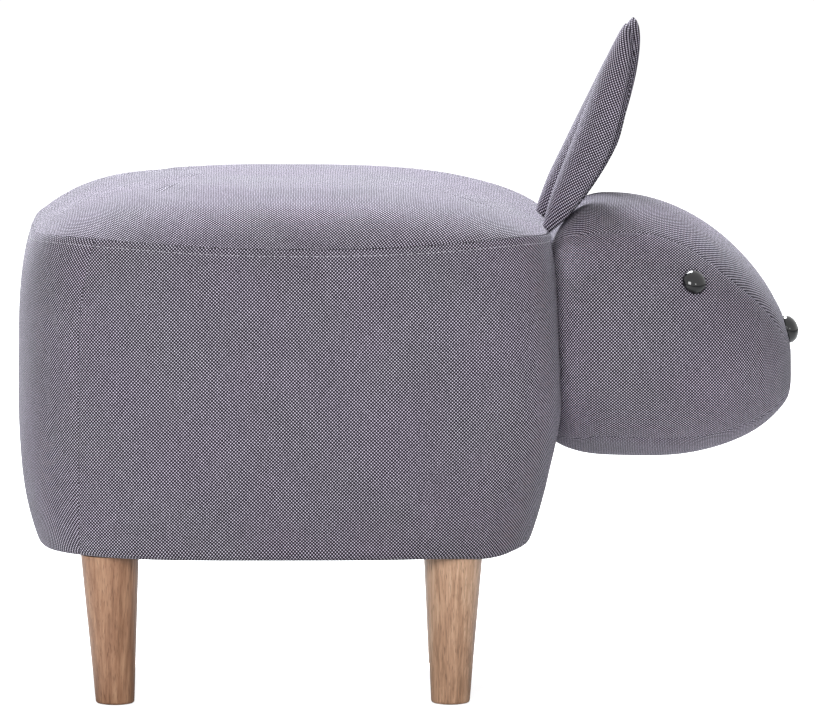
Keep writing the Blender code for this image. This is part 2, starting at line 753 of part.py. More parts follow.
def head_solid(depth):
    """The whole head as one closed form, at a depth in its skin."""
    angles = [angle for panel in head_panels().values() for angle in panel[:-1]]
    rings = [[head_point(station, angle, depth) for angle in angles] for station in HEAD_STATIONS]
    rings.append([head_point(90, 0, depth)])
    return loft(rings)


def make_head_foam(envelope, pockets):
    """The head's filling, cut by the body and hollowed for the plate, bolts and washers."""
    foam = add_object("head_foam", head_solid(HEAD_COVER + GAP), FOAM)
    cut(foam, envelope, *pockets)


# The plate and bolts that hold the head

def plate_ring(x, grow):
    """The rounded outline of the head plate, across X."""
    ring = []
    for side in range(ROUND_SIDES):
        turn = 2 * math.pi * side / ROUND_SIDES
        across, up = math.cos(turn), math.sin(turn)
        reach = (abs(across / (PLATE_HALF_WIDTH + grow)) ** PLATE_SQUARENESS
                 + abs(up / (PLATE_HALF_HEIGHT + grow)) ** PLATE_SQUARENESS) ** (-1 / PLATE_SQUARENESS)
        ring.append(Vector((x, reach * across, PLATE_Z + reach * up)))
    return ring


def make_head_fixing(holed):
    """The head plate, carriage bolts, washers and nuts; returns the pockets for the filling."""
    front, _ = box_ends()
    inside = front - FRONT_BOARD
    plate_x = BODY_FRONT_X + GAP
    plate_end = plate_x + PLATE
    plate = add_object("head_plate", loft([plate_ring(x, 0) for x in (plate_x, plate_end)]), PLYWOOD)
    shanks = bmesh.new()
    heads = bmesh.new()
    for name, side in (("upper", 1), ("lower", -1)):
        at = Vector((0, 0, PLATE_Z + side * BOLT_SPREAD))
        cylinder_into(shanks, BOLT_RADIUS + GAP, inside - CORNER_BLOCK, plate_end + BOLT_HEAD, at,
                      SMALL_SIDES, (1, 0, 0))
        cylinder_into(heads, BOLT_HEAD_RADIUS + GAP, plate_end - PLATE / 2,
                      plate_end + 2 * GAP + BOLT_HEAD, at, SMALL_SIDES, (1, 0, 0))
        make_head_bolt(name, at.z, inside, plate_end + GAP)
    bolt_holes = add_cutter("head_bolt_holes", shanks)
    plate_pocket = add_cutter("head_plate_pocket", loft([
        plate_ring(plate_x - FRONT_HEM_DRAW, GAP), plate_ring(plate_end + GAP, GAP)]))
    head_pockets = add_cutter("bolt_head_pockets", heads)
    for item in holed + [plate]:
        cut(item, bolt_holes)
    return [plate_pocket, head_pockets]


def make_head_bolt(name, z, inside, head_x):
    """One carriage bolt from the head plate into the box, with its washer and nut."""
    washer_end = inside - GAP - WASHER
    nut_end = washer_end - GAP - NUT
    tip = nut_end - BOLT_PROUD
    nut_bore = (BOLT_RADIUS + GAP) / math.cos(math.pi / NUT_SIDES)
    dome = [(BOLT_HEAD_RADIUS * out, head_x + BOLT_HEAD * up) for out, up in BOLT_DOME_SHARES]
    pieces = [
        add_object(name + "_head_bolt", turned(
            [(0, tip), (BOLT_RADIUS, tip), (BOLT_RADIUS, head_x), (BOLT_HEAD_RADIUS, head_x)] + dome
            + [(0, head_x + BOLT_HEAD)], SMALL_SIDES), STEEL, smooth=40),
        add_object(name + "_head_washer", turned((
            (BOLT_RADIUS + GAP, washer_end), (WASHER_RADIUS, washer_end),
            (WASHER_RADIUS, inside - GAP), (BOLT_RADIUS + GAP, inside - GAP)), SMALL_SIDES, cyclic=True),
            STEEL, smooth=40),
        add_object(name + "_head_nut", turned((
            (nut_bore, nut_end), (NUT_RADIUS, nut_end),
            (NUT_RADIUS, washer_end - GAP), (nut_bore, washer_end - GAP)), NUT_SIDES, cyclic=True),
            STEEL),
    ]
    for piece in pieces:
        piece.rotation_euler = (0, math.radians(90), 0)
        piece.location = (0, 0, z)


# Eyes and nose

def make_button(name, station, around, radius, height):
    """A domed button, its washer, and cutters for its stem and its pocket in the filling."""
    centre = head_point(station, around, 0)
    normal = head_normal(station, around)
    turn = Vector((0, 0, 1)).rotation_difference(normal)
    dome = [(radius * math.cos(math.radians(rise)), GAP + height * math.sin(math.radians(rise)))
            for rise in DOME_ANGLES]
    button = add_object(name, turned(
        [(0, -STEM_LENGTH), (STEM_RADIUS, -STEM_LENGTH), (STEM_RADIUS, GAP)] + dome
        + [(0, GAP + height)], ROUND_SIDES), GLOSS_BLACK, smooth=50)
    washer_top = -HEAD_COVER - COVER_TO_BUTTON_WASHER
    washer = add_object(name + "_washer", turned((
        (STEM_RADIUS + GAP, washer_top - BUTTON_WASHER), (BUTTON_WASHER_RADIUS, washer_top - BUTTON_WASHER),
        (BUTTON_WASHER_RADIUS, washer_top), (STEM_RADIUS + GAP, washer_top)),
        SMALL_SIDES, cyclic=True), PLASTIC, smooth=40)
    for piece in (button, washer):
        piece.rotation_mode = "QUATERNION"
        piece.rotation_quaternion = turn
        piece.location = centre
    hole = bmesh.new()
    cylinder_into(hole, STEM_RADIUS + GAP, -STEM_LENGTH, HEAD_COVER, centre, SMALL_SIDES, normal)
    pocket = bmesh.new()
    cylinder_into(pocket, BUTTON_WASHER_RADIUS + GAP, -STEM_LENGTH - GAP, HEAD_COVER, centre,
                  SMALL_SIDES, normal)
    return add_cutter(name + "_stem_hole", hole), add_cutter(name + "_pocket", pocket)


def make_face(covers):
    """The eyes and the nose; returns their pockets in the filling."""
    pockets = []
    for name, side, cover in (("right_eye", -1, "right_cheek_cover"), ("left_eye", 1, "left_cheek_cover")):
        hole, pocket = make_button(name, EYE_STATION, side * EYE_AROUND, EYE_RADIUS, EYE_HEIGHT)
        cut(covers[cover], hole)
        pockets.append(pocket)
    hole, pocket = make_button("nose", NOSE_STATION, 0, NOSE_RADIUS, NOSE_HEIGHT)
    cut(covers["head_gusset_cover"], hole)
    return pockets + [pocket]


# Ears

def ear_middle(share, fold):
    """A point of the ear's middle layer, in the ear's own frame: across, forward, up."""
    leaf = (4 * share * (1 - share)) ** EAR_LEAF_POWER if 0 < share < 1 else 0.0
    curl = 1 - math.cos(math.radians(EAR_FOLD))
    across = EAR_HALF_WIDTH * leaf * math.sin(math.radians(fold))
    forward = EAR_DEPTH * leaf * (1 - math.cos(math.radians(fold))) / curl
    return Vector((forward, across, EAR_LENGTH * share)), leaf


def ear_ring(share, side):
    """The closed section of the ear at a share of its length, turned more outward towards the tip."""
    turn = EAR_BASE_TURN + (EAR_TIP_TURN - EAR_BASE_TURN) * share
    turned = Matrix.Rotation(side * math.radians(turn), 3, "Z")
    folds = around_angles(-EAR_FOLD, EAR_FOLD, EAR_COLUMNS)
    outer, inner = [], []
    for fold in folds:
        place, leaf = ear_middle(share, fold)
        slope = ear_middle(share, fold + 1)[0] - ear_middle(share, fold - 1)[0]
        out = Vector((-slope.y, slope.x, 0)).normalized() * -1
        fill = math.sqrt(1 - abs(fold / EAR_FOLD) ** EAR_FILL_POWER)
        thickness = (EAR_EDGE + (EAR_THICKNESS - EAR_EDGE) * fill) * min(1.0, EAR_TAPER * leaf)
        outer.append(turned @ (place - out * thickness / 2))
        inner.append(turned @ (place + out * thickness / 2))
    return outer + inner[::-1]


def make_ear(name, side, lean, setback, cutters):
    """A folded, stuffed ear, pinched into the seam between head and body."""
    rings = [ear_ring(share, side) for share in EAR_SHARES[1:-1]]
    poles = [[Vector((0, 0, EAR_LENGTH * share))] for share in (0, 1)]
    ear = add_object(name, loft([poles[0]] + rings + [poles[1]]), FABRIC, smooth=60)
    base_x = BODY_FRONT_X - FRONT_SEAM_DRAW - setback
    ear.location = (base_x, side * EAR_SPREAD, SEAM_Z + EAR_BASE_LIFT)
    ear.rotation_euler = (0, math.radians(lean), 0)
    cut(ear, *cutters)


def main():
    clear_scene()
    root = bpy.data.objects.new("footstool", None)
    bpy.context.scene.collection.objects.link(root)

    wrap = make_boards()
    front_board = make_box()
    for name, (x, y, shift) in leg_places().items():
        make_leg(name, x, y, shift)
    bolt_holes = leg_holes("hanger_bolt_holes", HANGER_RADIUS + GAP, DUST_COVER_Z - DUST_COVER, BASE_Z)
    make_dust_cover(bolt_holes)

    front_cover = make_covers(bolt_holes)
    make_seat_cover()
    front_foam = make_side_foam()
    make_seat_foam()

    envelope = body_envelope()
    covers = make_head_covers(envelope)
    pockets = make_head_fixing([front_board, wrap, front_foam, front_cover])
    pockets += make_face(covers)
    make_head_foam(envelope, pockets)

    head_envelope = add_cutter("head_envelope", head_solid(-GAP))
    envelopes = (envelope, head_envelope)
    make_ear("right_ear", -1, EAR_LEAN, 0.0, envelopes)
    make_ear("left_ear", 1, EAR_LEAN + LEFT_EAR_EXTRA_LEAN, LEFT_EAR_SETBACK, envelopes)


main()
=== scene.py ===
"""Looks of the rabbit footstool: woven cover, stuffed head and ears, buttons and turned legs.

Metres, +Z up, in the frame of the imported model. The camera looks at the animal's right side.
Grids of points run in rows and columns; the cover's surfaces repeat the solids' own formulas.
"""
import json
import math

import bmesh
import bpy
import numpy as np
from mathutils import Matrix, Vector, noise
from mathutils.bvhtree import BVHTree


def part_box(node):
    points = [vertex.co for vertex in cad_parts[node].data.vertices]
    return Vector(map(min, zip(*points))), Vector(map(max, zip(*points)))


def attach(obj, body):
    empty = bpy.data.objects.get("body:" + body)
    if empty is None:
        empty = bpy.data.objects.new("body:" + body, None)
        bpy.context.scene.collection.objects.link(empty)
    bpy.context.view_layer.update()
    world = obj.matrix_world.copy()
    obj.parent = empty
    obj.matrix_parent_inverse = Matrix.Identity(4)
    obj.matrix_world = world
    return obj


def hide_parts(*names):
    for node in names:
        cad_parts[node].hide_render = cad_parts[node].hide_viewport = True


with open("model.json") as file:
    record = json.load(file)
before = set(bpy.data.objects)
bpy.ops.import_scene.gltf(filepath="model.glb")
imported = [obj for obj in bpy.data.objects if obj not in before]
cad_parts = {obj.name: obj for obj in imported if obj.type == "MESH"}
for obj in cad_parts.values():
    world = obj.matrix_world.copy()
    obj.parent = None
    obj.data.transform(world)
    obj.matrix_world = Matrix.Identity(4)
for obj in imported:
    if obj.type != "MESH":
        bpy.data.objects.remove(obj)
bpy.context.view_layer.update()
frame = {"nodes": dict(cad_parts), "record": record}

# Body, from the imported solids
HEM_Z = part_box("left_side_cover")[0].z
BODY_WIDTH = 2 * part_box("left_side_cover")[1].y
REAR_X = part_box("rear_cover")[0].x
FRONT_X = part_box("front_cover")[1].x
BODY_LENGTH = FRONT_X - REAR_X
BODY_MID_X = (FRONT_X + REAR_X) / 2
SEAM_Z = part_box("seat_cover")[0].z
SEAM_RISE = SEAM_Z - HEM_Z
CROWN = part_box("seat_cover")[1].z - SEAM_Z
CROWN_SETBACK = 0.0414

# The two powers of the seat's dome, each at its front, rear and side
CROWN_POWERS = ((4.33, 3.04, 5.84), (0.79, 1.08, 1.01))

# How far the body's sides are drawn in at hem and seam, the height of their fullest part,
# and the powers with which they are drawn in below and above it
FRONT_DRAWS = (0.0244, 0.0094)
FRONT_FULL = (0.435, (1.2, 2.5))
REAR_DRAWS = (0.014, 0.009)
REAR_FULL = (0.56, (4.0, 5.0))
SIDE_DRAWS = (0.008, 0.008)
SIDE_FULL = (0.50, (4.0, 4.0))
FRONT_SQUARENESS = 6.0
FRONT_HEM_SQUARENESS = 3.2
FRONT_SEAM_SQUARENESS = 4.8
REAR_SQUARENESS = 3.6
FRONT_CORNER_LIFT = 0.0066
REAR_CORNER_LIFT = 0.0067
FRONT_CORNER_INSET = 0.070

# The rear corner seam: its distance from the tail end below, and how it leans forward above
REAR_SEAM_AHEAD = 0.046
REAR_SEAM_LEAN = 0.013
REAR_SEAM_BEND_SHARE = 0.72

# Cover: thickness left under its surface, hem, lower corners, creases at the seams, and puckers
COVER_INSIDE = 0.0022
HEM_TURN = 0.021
HEM_ROUNDING = 0.0045
HEM_SAG = (0.0014, 0.006)
CORNER_BAGS = (0.0030, -0.0007)
CORNER_BAG_REACH = 0.016
SEAM_DEPTH = 0.0005
SEAM_REACH = 0.0016
SEAM_STEPS = (0.0007, 0.0009, 0.0013, 0.0020, 0.0032)
EDGE_TRIM = 0.1
PUCKER = 0.00045
PUCKER_REACH = 0.011
PUCKER_SCALE = 95.0
WAVE = 0.0005
BODY_WAVE_SCALE = 16.0
HEAD_WAVE_SCALE = 18.0

# Cloth: size of its faces, pressure, how far it may move in and out, and how full it is
CLOTH_STEP = 0.0055
CLOTH_SINK = 0.0002
PRESSURE = 4.0
EAR_PRESSURE = 3.0
CLOTH_FRAMES = 20
CLOTH_SETTINGS = {
    "quality": 5,
    "mass": 0.3,
    "tension_stiffness": 15,
    "compression_stiffness": 15,
    "bending_stiffness": 0.5,
    "use_pressure": True,
}
BODY_SLACK = 0.0005
HEAD_SLACK = 0.0003
BODY_MOST = 0.0026
HEAD_MOST = 0.0030
EAR_MOST = 0.0015

# Head
HEAD_MID_X = FRONT_X + 0.0338
HEAD_MID_Z = SEAM_Z - 0.0774
HEAD_FRONT_RUN = 0.1508
HEAD_REAR_RUN = 0.071
HEAD_HALF_WIDTH = 0.112
HEAD_HALF_HEIGHT = 0.1052
MUZZLE_DROOP = 0.0330
NECK_DROOP = 0.026
HEAD_SECTION_POWER = 0.909
MUZZLE_POWERS = (0.80, 0.93)

# Swellings along the head: size, middle station and reach
CHIN_SWELLING = (0.0035, 24.0, 19.0)
MUZZLE_SWELLING = (0.0024, 76.0, 8.0)
TOP_DIP = (0.0014, -3.0, 16.0)

# Where the head's seams run: station from neck to muzzle, and angle from the top
GUSSET_SEAM = ((-60, 5), (-45, 12), (-37, 20), (-28, 31), (-20, 37), (-10, 40), (0, 40.5), (16, 38.5),
               (28, 40), (36, 44), (44, 47), (60, 47.5), (75, 50), (90, 51))
CHIN_SEAM = ((-60, 152), (-26, 148), (-3, 140), (30, 142), (60, 141), (90, 141))
LAST_STATION_SHARE = 0.985
TIP_GAP = 0.04
NECK_DEPTH = 0.0016
NECK_REACH = 0.004
NECK_TUCK = 0.0015

# Eyes and nose: station and angle on the head, radius and height
BUTTONS = {
    "right_eye": (28.0, -60.2, 0.0100, 0.0070),
    "left_eye": (28.0, 60.2, 0.0100, 0.0070),
    "nose": (77.5, 0.0, 0.0112, 0.0086),
}
BUTTON_EDGE = 0.0006
BUTTON_LIFT = 0.0003
STEM_RADIUS = 0.0022
STEM_LENGTH = 0.013

# How a button presses the cover in, and how the cover stands up round it
DINT = 0.0012
DINT_RIM = 0.0006

# Ears: side, lean in degrees, and how far the base sits back and down
EARS = {"right_ear": (-1, 21.6, 0.0070, 0.001), "left_ear": (1, 26.1, 0.0128, -0.0011)}
EAR_LENGTH = 0.1834
EAR_SPREAD = 0.040
EAR_BASE = (FRONT_X - FRONT_DRAWS[1], SEAM_Z - 0.0023)
EAR_HALF_WIDTH = 0.021
EAR_DEPTH = 0.0275
EAR_THICKNESS = 0.0104
EAR_EDGE = 0.0016
# Offset that puts a painted highlight, with no painted shade, along the fold at the ear's back
EAR_BACK_HIGHLIGHT = 0.0012
EAR_FILL_POWER = 4.0
EAR_TAPER = 1.4
EAR_FOLD = 112.0
EAR_TURNS = (6.6, 10.0)
EAR_LEAF = ((1.60, 1.20), (0.66, 0.52))
EAR_ROWS = 48
EAR_COLUMNS = 33
EAR_CUTS = (0.06, 0.05)
# Largest contact distance on an ear: below it, the fabric has painted shade at the ear's base
EAR_BASE_SHADE_REACH = 0.0032

# Stitching below the seat seam
STITCH_BELOW = 0.0052
STITCH_PITCH = 0.0042
STITCH_LENGTH = 0.0027
STITCH_THICKNESS = 0.00027
STITCH_SIDES = 6

# Legs
FOOT_RADIUS = 0.0155
LEG_TOP_RADIUS = 0.0232
FOOT_ROUNDING = 0.0024
FOOT_CLEARANCE = 0.0006
GLIDE_CLEARANCE = 0.0003

# Above this angle, an edge of a turned piece is sharp
SHARP_ANGLE = math.radians(50)

# Weave: width of a yarn, how it wanders, and how it leans towards the body's front
YARN = 0.001348
WANDER = 0.0016
WANDER_SCALE = 28.0
WEAVE_LEAN = (0.03, 0.38)

# Photograph: its width and scale
PHOTO_PIXELS = 815
PIXEL = 0.0008


# Grids and meshes

def ripple(points, scale, seed=0.0):
    """Smooth noise from about -1 to 1 at each point."""
    flat = points.reshape(-1, 3)
    values = [noise.noise(Vector(point) * scale + Vector((seed, seed, seed))) for point in flat]
    return np.array(values).reshape(points.shape[:-1])


def travelled(grid, axis):
    """Distance along the grid's rows or columns from their first point."""
    steps = np.linalg.norm(np.diff(grid, axis=axis), axis=-1)
    start = np.zeros_like(np.take(steps, [0], axis=axis))
    return np.concatenate((start, np.cumsum(steps, axis=axis)), axis=axis)


def spacing(length, step, fine_start=True, fine_end=True):
    """Shares along an edge: close together beside a seam and even between."""
    fine = np.cumsum((0.0,) + SEAM_STEPS)
    start = fine if fine_start else fine[:1]
    end = length - (fine if fine_end else fine[:1])[::-1]
    count = max(2, round((end[0] - start[-1]) / step))
    middle = np.linspace(start[-1], end[0], count + 1)[1:-1]
    return np.concatenate((start, middle, end)) / length


def fan(first, columns, pole):
    """Three-sided faces between a ring of points and a pole."""
    return [(first + column, first + (column + 1) % columns, pole) for column in range(columns)]


def grid_faces(rows, columns, cyclic, first=0):
    """Four-sided faces between the points of a grid."""
    faces = []
    for row in range(rows - 1):
        low, high = first + row * columns, first + (row + 1) * columns
        for column in range(columns if cyclic else columns - 1):
            following = (column + 1) % columns
            faces.append((low + column, low + following, high + following, high + column))
    return faces


def border(rows, columns):
    """The indices round the edge of a grid, in order."""
    grid = np.arange(rows * columns).reshape(rows, columns)
    return np.concatenate((grid[0], grid[1:-1, -1], grid[-1, ::-1], grid[-2:0:-1, 0])).tolist()


def add_object(name, data):
    """An object in the scene."""
    item = bpy.data.objects.new(name, data)
    bpy.context.scene.collection.objects.link(item)
    return item


def outward_mesh(name, points, faces):
    """A mesh with its faces outward."""
    mesh = bpy.data.meshes.new(name)
    mesh.from_pydata([tuple(point) for point in points], [], faces)
    bm = bmesh.new()
    bm.from_mesh(mesh)
    bmesh.ops.recalc_face_normals(bm, faces=bm.faces)
    bm.to_mesh(mesh)
    bm.free()
    return mesh


def mesh_piece(name, points, faces, maps=None):
    """A smooth mesh object, with maps in metres for the weave and for the distance to a seam."""
    mesh = outward_mesh(name, points, faces)
    corners = np.empty(len(mesh.loops), int)
    mesh.loops.foreach_get("vertex_index", corners)
    for key, values in (maps or {}).items():
        layer = mesh.uv_layers.new(name=key)
        layer.data.foreach_set("uv", np.asarray(values)[corners].astype(np.float32).ravel())
    mesh.shade_smooth()
    return add_object(name, mesh)


def doubled(maps, extra=()):
    """Maps of a grid for both of its skins, and for points beyond them."""
    flat = {key: values.reshape(-1, 2) for key, values in maps.items()}
    return {key: np.concatenate((values, values) + tuple([point[key]] for point in extra))
            for key, values in flat.items()}


def shell_piece(name, outer, inner, maps):
    """A panel of cover as a closed skin between two matching grids."""
    rows, columns = outer.shape[:2]
    count = rows * columns
    faces = grid_faces(rows, columns, False) + grid_faces(rows, columns, False, count)
    edge = border(rows, columns)
    for this, following in zip(edge, edge[1:] + edge[:1]):
        faces.append((this, following, count + following, count + this))
    points = np.concatenate((outer.reshape(-1, 3), inner.reshape(-1, 3)))
    return mesh_piece(name, points, faces, doubled(maps))


def dome_piece(name, outer, inner, outer_pole, inner_pole, maps):
    """A round panel of cover: rings from its seam up to a pole, where its weave's middle is."""
    rows, columns = outer.shape[:2]
    count = rows * columns
    faces = grid_faces(rows, columns, True) + grid_faces(rows, columns, True, count)
    for first, pole in ((0, 2 * count), (count, 2 * count + 1)):
        faces += fan(first + (rows - 1) * columns, columns, pole)
    faces += [(column, (column + 1) % columns, count + (column + 1) % columns, count + column)
              for column in range(columns)]
    points = np.concatenate((outer.reshape(-1, 3), inner.reshape(-1, 3), [outer_pole, inner_pole]))
    return mesh_piece(name, points, faces, doubled(maps, ({"weave": (0, 0), "seam": (1, 1)},) * 2))


def turned_piece(name, profile, sides, place=Matrix.Identity(4)):
    """A profile of (radius, height, shift) turned round Z, then placed."""
    turns = 2 * np.pi * np.arange(sides) / sides
    rings = [np.stack((shift + radius * np.cos(turns), radius * np.sin(turns), np.full(sides, height)), -1)
             for radius, height, shift in profile]
    faces = grid_faces(len(profile), sides, True)
    faces += [tuple(range(sides)), tuple(range((len(profile) - 1) * sides, len(profile) * sides))]
    item = mesh_piece(name, np.concatenate(rings), faces)
    item.data.transform(place)
    item.data.set_sharp_from_angle(angle=SHARP_ANGLE)
    return item


def finish_piece(piece, material, slot, *replaced):
    """Give a piece its material and body, and the nodes that it stands for; the slot is not used."""
    piece.data.materials.append(material)
    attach(piece, "root")
    if replaced:
        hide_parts(*replaced)


def finish_soft(piece, material, replaced):
    """Finish a padded piece."""
    finish_piece(piece, material, "cover_fabric", replaced)


# Cloth

def puffed(points, faces, pins, pressure, most):
    """Blow a closed cloth up between its pinned points: the moved points, and outward directions."""
    mesh = outward_mesh("cloth", points, faces)
    normals = np.empty(len(points) * 3)
    mesh.vertex_normals.foreach_get("vector", normals)
    normals = normals.reshape(-1, 3)
    item = add_object("cloth", mesh)
    group = item.vertex_groups.new(name="pinned")
    group.add([int(pin) for pin in pins], 1.0, "REPLACE")
    cloth = item.modifiers.new("cloth", "CLOTH")
    for key, value in CLOTH_SETTINGS.items():
        setattr(cloth.settings, key, value)
    cloth.settings.uniform_pressure_force = pressure
    cloth.settings.vertex_group_mass = "pinned"
    cloth.settings.effector_weights.gravity = 0
    cloth.collision_settings.use_collision = False
    scene = bpy.context.scene
    for number in range(1, CLOTH_FRAMES + 1):
        scene.frame_set(number)
    shown = item.evaluated_get(bpy.context.evaluated_depsgraph_get())
    moved = np.empty(len(points) * 3)
    shown.data.vertices.foreach_get("co", moved)
    bpy.data.objects.remove(item, do_unlink=True)
    scene.frame_set(1)
    out = ((moved.reshape(-1, 3) - points) * normals).sum(axis=-1, keepdims=True)
    return points + normals * np.clip(out, -CLOTH_SINK, most), normals


# The body's surface

def draw_in(rise, draws, full, powers):
    """How far a side is drawn in at a share of the height."""
    below = np.clip((full - rise) / full, 0, 1) ** powers[0]
    above = np.clip((rise - full) / (1 - full), 0, 1) ** powers[1]
    return draws[0] * below + draws[1] * above


def body_runs(rise, depth):
    """Half sizes to the front, rear and side at a share of the height, and the front's squareness."""
    front = BODY_LENGTH / 2 - draw_in(rise, FRONT_DRAWS, *FRONT_FULL) - depth
    rear = BODY_LENGTH / 2 - draw_in(rise, REAR_DRAWS, *REAR_FULL) - depth
    side = BODY_WIDTH / 2 - draw_in(rise, SIDE_DRAWS, *SIDE_FULL) - depth
    changes = (FRONT_HEM_SQUARENESS - FRONT_SQUARENESS, FRONT_SEAM_SQUARENESS - FRONT_SQUARENESS)
    return front, rear, side, FRONT_SQUARENESS + draw_in(rise, changes, *FRONT_FULL)


def runs_at(angle, rise, depth):
    """Half sizes along and across, and the outline's power, at each angle."""
    front, rear, side, squareness = body_runs(rise, depth)
    ahead = np.cos(angle) > 0
    return np.where(ahead, front, rear), side, np.where(ahead, squareness, REAR_SQUARENESS)


def outline(angle, rise, depth):
    """The body's outline: distances along X from its middle and across."""
    run, side, power = runs_at(angle, rise, depth)
    along, across = np.cos(angle), np.sin(angle)
    reach = (np.abs(along / run) ** power + np.abs(across / side) ** power) ** (-1 / power)
    return reach * along, reach * across


def cornerness(angle):
    """1 at the body's corners, falling to 0 at the middle of its sides."""
    x, y = outline(angle, 1.0, 0.0)
    run, side, power = runs_at(angle, 1.0, 0.0)
    return 2 * np.abs(x / run * y / side) ** (power / 2)


def corner_lift(angle):
    """How far the seat seam is pulled up towards the corners."""
    return np.where(np.cos(angle) > 0, FRONT_CORNER_LIFT, REAR_CORNER_LIFT) * cornerness(angle)


def wall_points(angle, rise, depth):
    """Points of the body's side."""
    x, y = outline(angle, rise, depth)
    z = HEM_Z + rise * (SEAM_RISE + corner_lift(angle))
    return np.stack(np.broadcast_arrays(BODY_MID_X + x, y, z), -1)


def crown_powers(angle):
    """The dome's two powers at an angle: blended from its front, rear and side."""
    ends = np.cos(angle) ** 2
    powers = []
    for front, rear, side in CROWN_POWERS:
        powers.append(np.where(np.cos(angle) > 0, front, rear) * ends + side * (1 - ends))
    return powers


def crown_points(angle, share, depth):
    """Points of the domed seat, at shares of the way out to its seam."""
    x, y = outline(angle, 1.0, depth)
    spread, steepness = crown_powers(angle)
    rise = np.clip(1 - share ** spread, 0, 1) ** steepness
    z = SEAM_Z + corner_lift(angle) * (1 - rise) + (CROWN - depth) * rise
    x = BODY_MID_X + x * share - CROWN_SETBACK * (1 - share ** 2)
    return np.stack(np.broadcast_arrays(x, y * share, z), -1)


def seam_angles(rise):
    """Angles of the front and rear corner seams on the left side."""
    front, _, side, squareness = body_runs(SIDE_FULL[0], 0.0)
    y = BODY_WIDTH / 2 - FRONT_CORNER_INSET
    front_angle = math.atan2(y, front * (1 - (y / side) ** squareness) ** (1 / squareness))
    _, rear, side, _ = body_runs(rise, 0.0)
    bend = np.clip((rise - REAR_SEAM_BEND_SHARE) / (1 - REAR_SEAM_BEND_SHARE), 0, 1) ** 1.5
    x = BODY_LENGTH / 2 - REAR_SEAM_AHEAD - REAR_SEAM_LEAN * bend
    y = side * (1 - (x / rear) ** REAR_SQUARENESS) ** (1 / REAR_SQUARENESS)
    return np.full_like(y, front_angle), np.arctan2(y, -x)


def panel_fractions(start, end):
    """Shares of the angle between two seams, and distances along the panel, of its columns."""
    fine = np.linspace(start, end, 600)
    x, y = outline(fine, SIDE_FULL[0], 0.0)
    length = travelled(np.stack((x, y), axis=-1), 0)
    shares = spacing(length[-1], CLOTH_STEP)
    angles = np.interp(shares * length[-1], length, fine)
    return (angles - start) / (end - start), shares * length[-1]


def seam_crease(distance, depth=SEAM_DEPTH, reach=SEAM_REACH):
    """How far the cover sinks at a distance from its seam."""
    return depth * np.exp(-distance / reach)


def panel_ends(front, rear):
    """The angles at which each side panel starts and ends."""
    return {
        "front": (-front, front),
        "left": (front, rear),
        "rear": (rear, 2 * math.pi - rear),
        "right": (2 * math.pi - rear, 2 * math.pi - front),
    }


def side_by_side(panels):
    """Angles and seam distances of all panels' columns, and each panel's first and last column."""
    angles, distances, spans, first = [], [], {}, 0
    for name, (start, end, shares, distance) in panels.items():
        angles.append(start[:, None] + (end - start)[:, None] * shares[:-1])
        distances.append(distance[:, :-1])
        spans[name] = (first, first + len(shares) - 1)
        first = spans[name][1]
    return np.concatenate(angles, axis=1), np.concatenate(distances, axis=1), spans


def body_columns(rises):
    """Angles and seam distances of the body's columns, and each panel's span of columns."""
    full_ends = panel_ends(*seam_angles(np.array([SIDE_FULL[0]])))
    panels = {}
    for name, (start, end) in panel_ends(*seam_angles(rises)).items():
        fractions, places = panel_fractions(*(float(edge[0]) for edge in full_ends[name]))
        distance = np.minimum(places, places[-1] - places)[None, :]
        panels[name] = (start, end, fractions, distance)
    return side_by_side(panels)


def body_skin():
    """The body's cover: outer, inner and plain grids, seam distances, hem rows, seam row and spans."""
    rises = spacing(SEAM_RISE, CLOTH_STEP)[:, None]
    angles, side_distance, spans = body_columns(rises[:, 0])
    height = rises * SEAM_RISE
    rounding = np.clip(HEM_ROUNDING - height, 0, None)
    rounding = HEM_ROUNDING - np.sqrt(HEM_ROUNDING ** 2 - rounding ** 2)
    seam_distance = np.minimum((1 - rises) * SEAM_RISE, side_distance)
    depth = rounding + seam_crease(seam_distance) + BODY_SLACK
    wall = wall_points(angles, rises, depth)
    wall_inside = wall_points(angles, rises, COVER_INSIDE + rounding)
    wall_inside[..., 2] = np.maximum(wall_inside[..., 2], HEM_Z + COVER_INSIDE)
    wall[..., 2] -= HEM_SAG[0] * np.exp(-(height / HEM_SAG[1]) ** 2)
    bag = (np.where(np.cos(angles) > 0, *CORNER_BAGS) * cornerness(angles) ** 4
           * np.exp(-(height / CORNER_BAG_REACH) ** 2))
    wall[..., 2] -= bag
    wall[..., 0] += bag * 0.5 * np.cos(angles)

    turns = np.array((HEM_TURN, 2 * HEM_TURN / 3, HEM_TURN / 3))[:, None]
    hem = wall_points(angles[:1], 0.0, turns)
    hem_inside = hem + np.array((0, 0, COVER_INSIDE))

    shares = 1 - spacing(BODY_WIDTH / 2, CLOTH_STEP, True, False)[1:-1, None]
    ring_distance = (1 - shares) * BODY_WIDTH / 2
    crown = crown_points(angles[-1:], shares, seam_crease(ring_distance) + BODY_SLACK)
    crown_inside = crown_points(angles[-1:], shares, COVER_INSIDE)
    plain = np.concatenate((hem, wall_points(angles, rises, 0),
                            crown_points(angles[-1:], shares, 0)))
    outer = np.concatenate((hem, wall, crown))
    inner = np.concatenate((hem_inside, wall_inside, crown_inside))
    distance = np.concatenate((np.ones((len(turns), angles.shape[1])), seam_distance,
                               np.repeat(ring_distance, angles.shape[1], axis=1)))
    return outer, inner, plain, distance, len(turns), len(turns) + len(rises) - 1, spans


